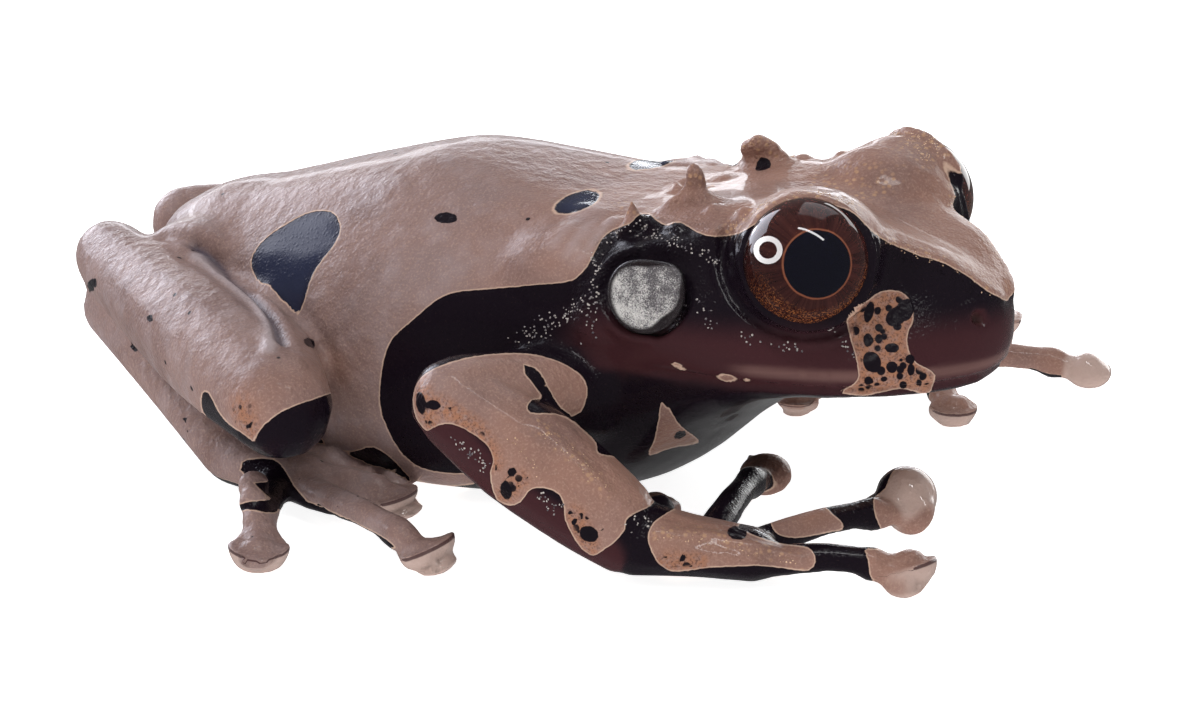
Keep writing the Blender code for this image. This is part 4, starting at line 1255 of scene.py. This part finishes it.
# %% Gland density
# Each path runs through pixels of the photograph, with its half-width in pixels and its share of the density.
GLAND_PATHS = [
    ([(742, 333), (758, 342)], 6, 0.5), ([(775, 345), (805, 350)], 6, 0.45),
    ([(830, 330), (834, 333)], 5, 0.6), ([(845, 346), (852, 357)], 6, 1.0),
    ([(700, 300), (712, 330)], 6, 0.35), ([(520, 336), (545, 328)], 7, 0.9),
    ([(540, 322), (565, 318), (582, 300)], 8, 0.8), ([(590, 262), (606, 240), (636, 224)], 5, 0.6),
    ([(640, 232), (668, 240), (700, 250), (714, 262)], 7, 0.6), ([(676, 322), (684, 300)], 5, 0.5),
    ([(592, 300), (590, 340)], 6, 0.7), ([(598, 268), (594, 300)], 5, 0.8),
    ([(456, 440), (476, 456), (486, 466)], 7, 0.8), ([(630, 528), (645, 520)], 7, 0.7),
    ([(540, 492), (556, 508)], 6, 0.8),
]
# Gold grains: on the lid edge its own gold granules; along the canthus, the forearm, the hand and over the
# far brow, painted glints that brighten the skin.
SPECK_PATHS = [
    ([(730, 229), (765, 205), (795, 196), (825, 194), (854, 205)], 4, 0.8),
    ([(875, 237), (905, 249), (940, 261)], 4, 0.8), ([(940, 261), (985, 289), (1000, 298)], 4, 0.6),
    ([(544, 433), (570, 452), (606, 488)], 8, 0.6), ([(515, 440), (540, 478)], 6, 0.4),
    ([(655, 536), (690, 538), (740, 548), (800, 566)], 4, 0.6), ([(598, 236), (630, 216)], 4, 0.5),
    ([(895, 175), (925, 190), (935, 225)], 22, 0.25), ([(676, 190), (695, 172), (712, 186)], 7, 0.5),
    ([(744, 160), (768, 152)], 9, 0.5),
]


def density_along(paths):
    return np.max([share * fade(pixel_distance(path) * PIXELS_PER_MM, width, width * 0.4)
                   for path, width, share in paths], axis=0)


gland, speck = density_along(GLAND_PATHS), density_along(SPECK_PATHS)
store("gland", gland * (tan < 0.1))
store("speck", speck * (tan > -0.1) * fade(lid_reach, -2.5, -1.5))
print(int((gland > 0).sum()), "points near wet grains,", int((speck > 0).sum()), "near gold grains")


# %% Gland tree
BALL_FACES = 20


def grow(tree, kind, settings=None, inputs=None):
    """Adds a node to a tree of Geometry Nodes, with its settings and the values or links of its sockets."""
    made = tree.nodes.new(kind)
    for key, value in (settings or {}).items():
        setattr(made, key, value)
    for key, value in (inputs or {}).items():
        if isinstance(value, bpy.types.NodeSocket):
            tree.links.new(value, made.inputs[key])
        else:
            made.inputs[key].default_value = value
    return made


def gland_tree(material):
    tree = bpy.data.node_groups.new("glands", "GeometryNodeTree")
    tree.is_modifier = True
    tree.interface.new_socket("Skin", in_out="INPUT", socket_type="NodeSocketGeometry")
    tree.interface.new_socket("Density attribute", in_out="INPUT", socket_type="NodeSocketString")
    for name in ("Glands per square metre", "Radius"):
        tree.interface.new_socket(name, in_out="INPUT", socket_type="NodeSocketFloat")
    tree.interface.new_socket("Seed", in_out="INPUT", socket_type="NodeSocketInt")
    tree.interface.new_socket("Glands", in_out="OUTPUT", socket_type="NodeSocketGeometry")
    start = grow(tree, "NodeGroupInput").outputs
    stored = grow(tree, "GeometryNodeInputNamedAttribute", {"data_type": "FLOAT"}, {"Name": start[1]})
    density = grow(tree, "ShaderNodeMath", {"operation": "MULTIPLY"},
                   {0: stored.outputs[0], 1: start[2]}).outputs[0]
    points = grow(tree, "GeometryNodeDistributePointsOnFaces", None,
                  {"Mesh": start[0], "Density": density, "Seed": start[4]}).outputs
    ball = grow(tree, "GeometryNodeMeshIcoSphere", None, {"Radius": start[3], "Subdivisions": 1}).outputs[0]
    ball = grow(tree, "GeometryNodeSetShadeSmooth", None, {0: ball}).outputs[0]
    size = grow(tree, "FunctionNodeRandomValue", {"data_type": "FLOAT_VECTOR"},
                {0: (0.5, 0.5, 0.3), 1: (1.2, 1.1, 0.8), "Seed": start[4]}).outputs[0]
    strewn = grow(tree, "GeometryNodeInstanceOnPoints", None,
                  {"Points": points[0], "Instance": ball, "Rotation": points[2], "Scale": size}).outputs[0]
    joined = grow(tree, "GeometryNodeRealizeInstances", None, {0: strewn}).outputs[0]
    dressed = grow(tree, "GeometryNodeSetMaterial", None, {0: joined, "Material": material}).outputs[0]
    grow(tree, "NodeGroupOutput", None, {0: dressed})
    return tree


print("a ball has", BALL_FACES, "faces")

# %% Wet grains and gold grains
# The grains mix a dull colour with a bright one, which is a painted glint; for the gold grains on the lids it
# is also their own colour.
def gland_paint(name, dull, bright_and_glint):
    paint = Paint(name)
    spread = paint.noise(paint.place(), 3.0, 1)
    colour = paint.mix(paint.rise(spread, 0.35, 0.65), dull, bright_and_glint)
    return paint.finish(colour, 0.15 + spread * 0.2, Coat_Weight=1.0, Coat_Roughness=0.05)


def strewn(name, material, slot, **settings):
    """A piece of small balls strewn over the skin."""
    piece = new_object(name, skin.data.copy())
    strew = piece.modifiers.new("strew", "NODES")
    strew.node_group = gland_tree(material)
    inputs = {s.name: s.identifier for s in strew.node_group.interface.items_tree if s.in_out == "INPUT"}
    for key, value in settings.items():
        strew[inputs[key.replace("_", " ")]] = value
    apply_modifiers(piece)
    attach(piece, "root")
    print(name, len(piece.data.polygons) // BALL_FACES, "balls")


# The wet grains' pale colour is a painted glint. The gold grains' bright gold is their own colour on the lid
# edge, and a painted glint on the forearm and the hand.
strewn("skin_glands", gland_paint("wet_gland", (0.10, 0.085, 0.10), (0.55, 0.50, 0.47)), "dark_skin",
       Density_attribute="gland", Glands_per_square_metre=24e6, Radius=0.080 * MM, Seed=4)
strewn("skin_grains", gland_paint("gold_grain", (0.30, 0.18, 0.12), (0.75, 0.52, 0.34)), "tan_skin",
       Density_attribute="speck", Glands_per_square_metre=26e6, Radius=0.055 * MM, Seed=9)


# %% [markdown]
# ## The eyes
#
# Each eye is a wet ball with a wide dark iris, a black pupil and a thin copper ring between them. A lathe-
# like ball with a fine net takes the reflections without facets. Iris and pupil are drawn by the angle from
# the direction in which the eye looks, so they stay round whatever the net is.

# %% Eye material
EYE_RADIUS = 3.85 * MM
GAZE = Vector((0.55, -0.805, 0.26)).normalized()
PUPIL_ANGLE, IRIS_ANGLE = math.radians(30), math.radians(84)


def eye_paint(side, centre, gaze):
    paint = Paint(f"eye_{side}")
    out = paint.vector("NORMALIZE", {0: paint.place(centre)})
    facing = paint.dot(out, tuple(gaze))
    angle = paint.node("ShaderNodeMath", {"operation": "ARCCOSINE"}, {0: facing})
    reach = angle + (paint.noise(out, 6.0, 2) - 0.5) * 0.02
    along = paint.vector("SCALE", {0: tuple(gaze), "Scale": facing})
    spoke = paint.vector("NORMALIZE", {0: paint.vector("SUBTRACT", {0: out, 1: along})})
    fibres = paint.noise(spoke, 9.0, 3, 0.7)
    flecks = paint.noise(out, 34.0, 3, 0.7)
    low = paint.dot(spoke, (0.1, 0, -1))
    iris = paint.mix(paint.rise(fibres, 0.30, 0.75), (0.017, 0.005, 0.005), (0.040, 0.012, 0.010))
    copper = paint.rise(flecks, 0.50, 0.62) * paint.rise(low, -0.1, 0.7) * paint.rise(angle, 0.72, 0.92)
    iris = paint.mix(copper * 0.85, iris, (0.24, 0.085, 0.030))
    iris = paint.mix(paint.rise(flecks, 0.62, 0.72) * 0.4, iris, (0.20, 0.06, 0.025))
    ring = paint.rise(reach, PUPIL_ANGLE - 0.01, PUPIL_ANGLE + 0.01)
    ring = ring * paint.rise(reach, PUPIL_ANGLE + 0.05, PUPIL_ANGLE + 0.025)
    iris = paint.mix(ring * 0.5, iris, (0.30, 0.10, 0.05))
    colour = paint.mix(paint.rise(reach, PUPIL_ANGLE, PUPIL_ANGLE + 0.02), (0.0025, 0.0025, 0.006), iris)
    # Past the iris the ball darkens to near black at its edge: the eye's dark rim, with painted shade towards
    # the edge.
    colour = paint.mix(paint.rise(angle, IRIS_ANGLE - 0.2, IRIS_ANGLE + 0.1), colour, (0.004, 0.002, 0.002))
    return paint.finish(colour, 0.45, Coat_Weight=1.0, Coat_Roughness=0.012, Coat_IOR=1.38,
                        Specular_IOR_Level=0.0)


print("the pupil ends", round(math.degrees(PUPIL_ANGLE)), "degrees from the gaze")


# %% Eyes
def make_eye(side):
    centre = middle_of(f"eye_{side}")
    gaze = Vector((GAZE.x, GAZE.y if side == "right" else -GAZE.y, GAZE.z))
    shape = bmesh.new()
    bmesh.ops.create_uvsphere(shape, u_segments=96, v_segments=64, radius=EYE_RADIUS)
    turn = gaze.to_track_quat("Z", "Y").to_matrix().to_4x4()
    bmesh.ops.transform(shape, matrix=Matrix.Translation(centre) @ turn, verts=shape.verts)
    eye = object_from(f"eyeball_{side}", shape)
    eye.data.shade_smooth()
    eye.data.materials.append(eye_paint(side, centre, gaze))
    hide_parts(f"eye_{side}")
    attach(eye, "root")
    return eye


eyes = [make_eye(side) for side in ("right", "left")]
print("eyes at", [tuple(round(v / MM, 1) for v in middle_of(f"eye_{s}")) for s in ("right", "left")])


# %% [markdown]
# ## The eardrums
#
# Behind each eye lies the eardrum, a thin grey disc, slightly sunken, with the end of the ear bone showing
# as a curved ridge behind. It is a polar net whose heights follow those forms, closed by a flat back.

# %% Eardrum form
EAR_FACING = Vector((0.10, -0.96, 0.22)).normalized()
EAR_RADIUS = 2.35 * MM
EAR_RINGS, EAR_SPOKES = 20, 64
EAR_BACK_SHARE, EAR_BACK_DEPTH = 0.98, 0.3 * MM


def ear_reach(angle):
    """The eardrum's outline: round, with its top cut flatter and its front upper corner fuller."""
    top = math.exp(-((angle - math.pi / 2) / 0.75) ** 2)
    corner = math.exp(-((angle - 0.75) / 0.35) ** 2)
    return EAR_RADIUS * (1 - 0.15 * top + 0.10 * corner)


def ear_shield(angle):
    """The reach of its grey part, a rounded triangle with its corner up and ahead; past it, painted shade."""
    corner = math.exp(-((angle - 0.62) / 0.30) ** 2)
    top = math.exp(-((angle - 1.75) / 0.50) ** 2)
    low = math.exp(-((angle - 5.45) / 0.50) ** 2)
    return 1 + 0.16 * corner - 0.12 * top - 0.20 * low


def ear_height(share, angle):
    dish = -0.28 * (1 - share**2) + 0.12 * math.exp(-((share - 0.93) / 0.06) ** 2)
    bone = 0.16 * math.exp(-((share - 0.62) / 0.09) ** 2) * math.exp(-((angle - math.pi) / 0.9) ** 2)
    return (dish + bone + 0.42) * MM


print("the eardrum's middle is sunken to", round(ear_height(0, 0) / MM, 2), "mm")


# %% Eardrum material
def ear_paint():
    paint = Paint("eardrum")
    place = paint.place()
    fine, coarse = paint.noise(place, 12.0, 3, 0.7), paint.noise(place, 1.4, 2)
    # The silver grows towards the lower back of the drum: painted sheen on its lit side.
    low = paint.dot(paint.place(middle=EAR_RIGHT_PLACE), (-0.55, 0, -0.83))
    rim = paint.stored("rim")
    silver = paint.rise(fine + (coarse - 0.5) * 0.5 + low * 0.06, 0.38, 0.68)
    colour = paint.mix(silver, (0.13, 0.12, 0.13), (0.78, 0.76, 0.74))
    # Painted shade: the sunken rim past the grey part is dark.
    colour = paint.mix(paint.rise(rim, 0.84, 0.94), colour, (0.018, 0.012, 0.015))
    height = fine + paint.rise(paint.cells(place, 4.5), 0.5, 0.0) * 0.8
    return paint.finish(colour, 0.20, Normal=paint.bump(height, 0.16 * MM), Coat_Weight=0.5,
                        Coat_Roughness=0.10)


ear_material = ear_paint()
print("eardrum material with", len(ear_material.node_tree.nodes), "nodes")


# %% Eardrums
def make_eardrum(side, material):
    facing = Vector((EAR_FACING.x, -EAR_FACING.y if side == "left" else EAR_FACING.y, EAR_FACING.z))
    up = (Vector((0, 0, 1)) - facing * facing.z).normalized()
    ahead = facing.cross(up)
    if ahead.x < 0:
        ahead.negate()
    centre = middle_of(f"eardrum_{side}")
    shape = bmesh.new()
    rim = shape.verts.layers.float.new("rim")

    def vert_at(share, angle, height, shade):
        flat = ahead * math.cos(angle) + up * math.sin(angle)
        vert = shape.verts.new(centre + flat * ear_reach(angle) * share + facing * height)
        vert[rim] = shade
        return vert

    hub = vert_at(0, 0, ear_height(0, 0), 0)
    angles = [2 * math.pi * spoke / EAR_SPOKES for spoke in range(EAR_SPOKES)]
    rows = []
    for ring in range(1, EAR_RINGS + 1):
        share = ring / EAR_RINGS
        rows.append([vert_at(share, a, ear_height(share, a), share / ear_shield(a)) for a in angles])
    rows.append([vert_at(EAR_BACK_SHARE, a, -EAR_BACK_DEPTH, 1.0) for a in angles])
    for i in range(EAR_SPOKES):
        j = (i + 1) % EAR_SPOKES
        shape.faces.new((hub, rows[0][i], rows[0][j]))
        for row, following in zip(rows, rows[1:]):
            shape.faces.new((row[i], following[i], following[j], row[j]))
    shape.faces.new(rows[-1])
    bmesh.ops.recalc_face_normals(shape, faces=shape.faces)
    drum = object_from(f"ear_membrane_{side}", shape)
    drum.data.shade_smooth()
    drum.data.materials.append(material)
    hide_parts(f"eardrum_{side}")
    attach(drum, "root")
    return drum


drums = [make_eardrum(side, ear_material) for side in ("right", "left")]
print("eardrums:", [len(d.data.polygons) for d in drums], "faces")


# %% [markdown]
# ## Floor and light
#
# The frog sits on a white table that fills the picture. A white sheet lit from the front would be simplest,
# but the dark skin would mirror it. So the table glows by itself, and is kept out of reflections.

# %% Floor
def stage_piece(obj, material):
    obj.data.materials.append(material)
    return obj


def glow(name, colour, strength):
    paint = Paint(name)
    return paint.finish((0, 0, 0), 0.5, Emission_Color=colour, Emission_Strength=strength)


def floor_paint():
    paint = Paint("white_table")
    shade = paint.noise(paint.place(), 0.004, 2)
    return paint.finish(paint.mix(shade, (0.90, 0.90, 0.90), (0.93, 0.93, 0.925)), 0.7,
                        Emission_Color=(1, 1, 1), Emission_Strength=0.90)


shape = bmesh.new()
bmesh.ops.create_grid(shape, x_segments=8, y_segments=8, size=2.0)
floor = stage_piece(object_from("floor", shape), floor_paint())
floor.visible_glossy = False
print("the floor has", len(floor.data.polygons), "faces")

# %% [markdown]
# ## Lights
#
# The wet eye shows a small bright circle and a short streak: a ring light and a strip. The ring's points lie
# where the eye's own reflections say, worked out by mirroring sight lines in the eyeball, and only the eyes
# see it. Soft boxes behind on the right, behind on the left, overhead and low behind give the glare along
# the back and the limbs. One box in front fills the shadows, and wet skin doesn't mirror it. The room stays
# dim, because dark skin would mirror that too.

# %% Ring light
GLINT_MIDDLE, GLINT_HALF, GLINT_HOLE = (768, 250), (14.5, 14.0), 0.62
RING_DISTANCE, RING_SPOKES = 0.30, 64


def seen_in_eye(pixel):
    """The direction that the right eyeball mirrors into a pixel of the photograph, and where it does so."""
    ray, arm = sight_line(pixel), Vector(camera_place - EYE_RIGHT_PLACE)
    reach = -ray.dot(arm)
    hit = arm + ray * (reach - math.sqrt(reach**2 - arm.dot(arm) + EYE_RADIUS**2))
    return ray.reflect(hit.normalized()), hit + Vector(EYE_RIGHT_PLACE)


def ring_light():
    """A ring that the right eye shows as a small circle: each point lies where its reflection says."""
    shape, rows = bmesh.new(), []
    for share in (1, GLINT_HOLE):
        row = []
        for a in np.linspace(0, 2 * math.pi, RING_SPOKES, endpoint=False):
            out = share * np.array(GLINT_HALF) * (math.cos(a), math.sin(a))
            away, place = seen_in_eye(np.array(GLINT_MIDDLE) + out)
            row.append(shape.verts.new(place + away * RING_DISTANCE))
        rows.append(row)
    for i in range(RING_SPOKES):
        j = (i + 1) % RING_SPOKES
        shape.faces.new((rows[0][i], rows[0][j], rows[1][j], rows[1][i]))
    ring = stage_piece(object_from("ring_light", shape), glow("ring_glow", (1, 1, 1), 26.0))
    ring.visible_diffuse = ring.visible_camera = False
    ring.light_linking.receiver_collection = bpy.data.collections.new("eyes")
    for eye in eyes:
        ring.light_linking.receiver_collection.objects.link(eye)
    print("the ring light has", len(ring.data.polygons), "faces")


ring_light()

# %% Soft boxes and room
def from_camera(direction):
    """A direction given in the camera's right, up and back."""
    right, up, back = direction
    return Vector(camera_right * right + camera_up * up + camera_back * back).normalized()


def softbox(name, direction, distance, wide, high, watts, colour=(1, 1, 1), turn=0, mirrored=True):
    """An area light that faces the frog, turned by some degrees. Wet skin mirrors it, or not."""
    away = from_camera(direction)
    data = bpy.data.lights.new(name, "AREA")
    data.shape, data.size, data.size_y = "RECTANGLE", wide, high
    data.energy, data.color = watts, colour
    lamp = bpy.data.objects.new(name, data)
    lamp.location = target + away * distance
    lamp.visible_glossy = mirrored
    lamp.rotation_mode = "QUATERNION"
    lamp.rotation_quaternion = away.to_track_quat("Z", "Y") @ Quaternion((0, 0, 1), math.radians(turn))
    bpy.context.scene.collection.objects.link(lamp)


# Each box: its direction from the frog in the camera's right, up and back, then its distance, width and
# height in metres, its power in watts and its colour.
softbox("strip", (0.11, 0.77, 0.62), 0.45, 0.36, 0.03, 0.9, turn=-45)
softbox("back_right", (0.55, 0.45, -0.70), 0.50, 0.30, 0.30, 1.05)
softbox("back_left", (-0.65, 0.50, -0.55), 0.50, 0.35, 0.30, 1.8, (0.86, 0.88, 1.0))
softbox("overhead", (0.20, 0.95, -0.25), 0.55, 0.32, 0.40, 0.48, (0.95, 0.96, 1.0))
softbox("low_back", (-0.15, 0.44, -0.88), 0.50, 0.50, 0.05, 0.6, (0.93, 0.95, 1.0))
softbox("fill", (-0.65, 0.45, 0.60), 0.50, 0.30, 0.30, 1.1, (1.0, 0.95, 0.92), mirrored=False)
world = bpy.data.worlds.new("studio")
world.use_nodes = True
world.node_tree.nodes["Background"].inputs["Color"].default_value = (1, 1, 1, 1)
world.node_tree.nodes["Background"].inputs["Strength"].default_value = 0.20
bpy.context.scene.world = world
bpy.context.scene.view_settings.view_transform = "Standard"

# %% [markdown]
# ## Sizes
#
# The box round the dressed frog should match the box round its solids to within a few tenths of a millimetre,
# because the skin was laid over them.
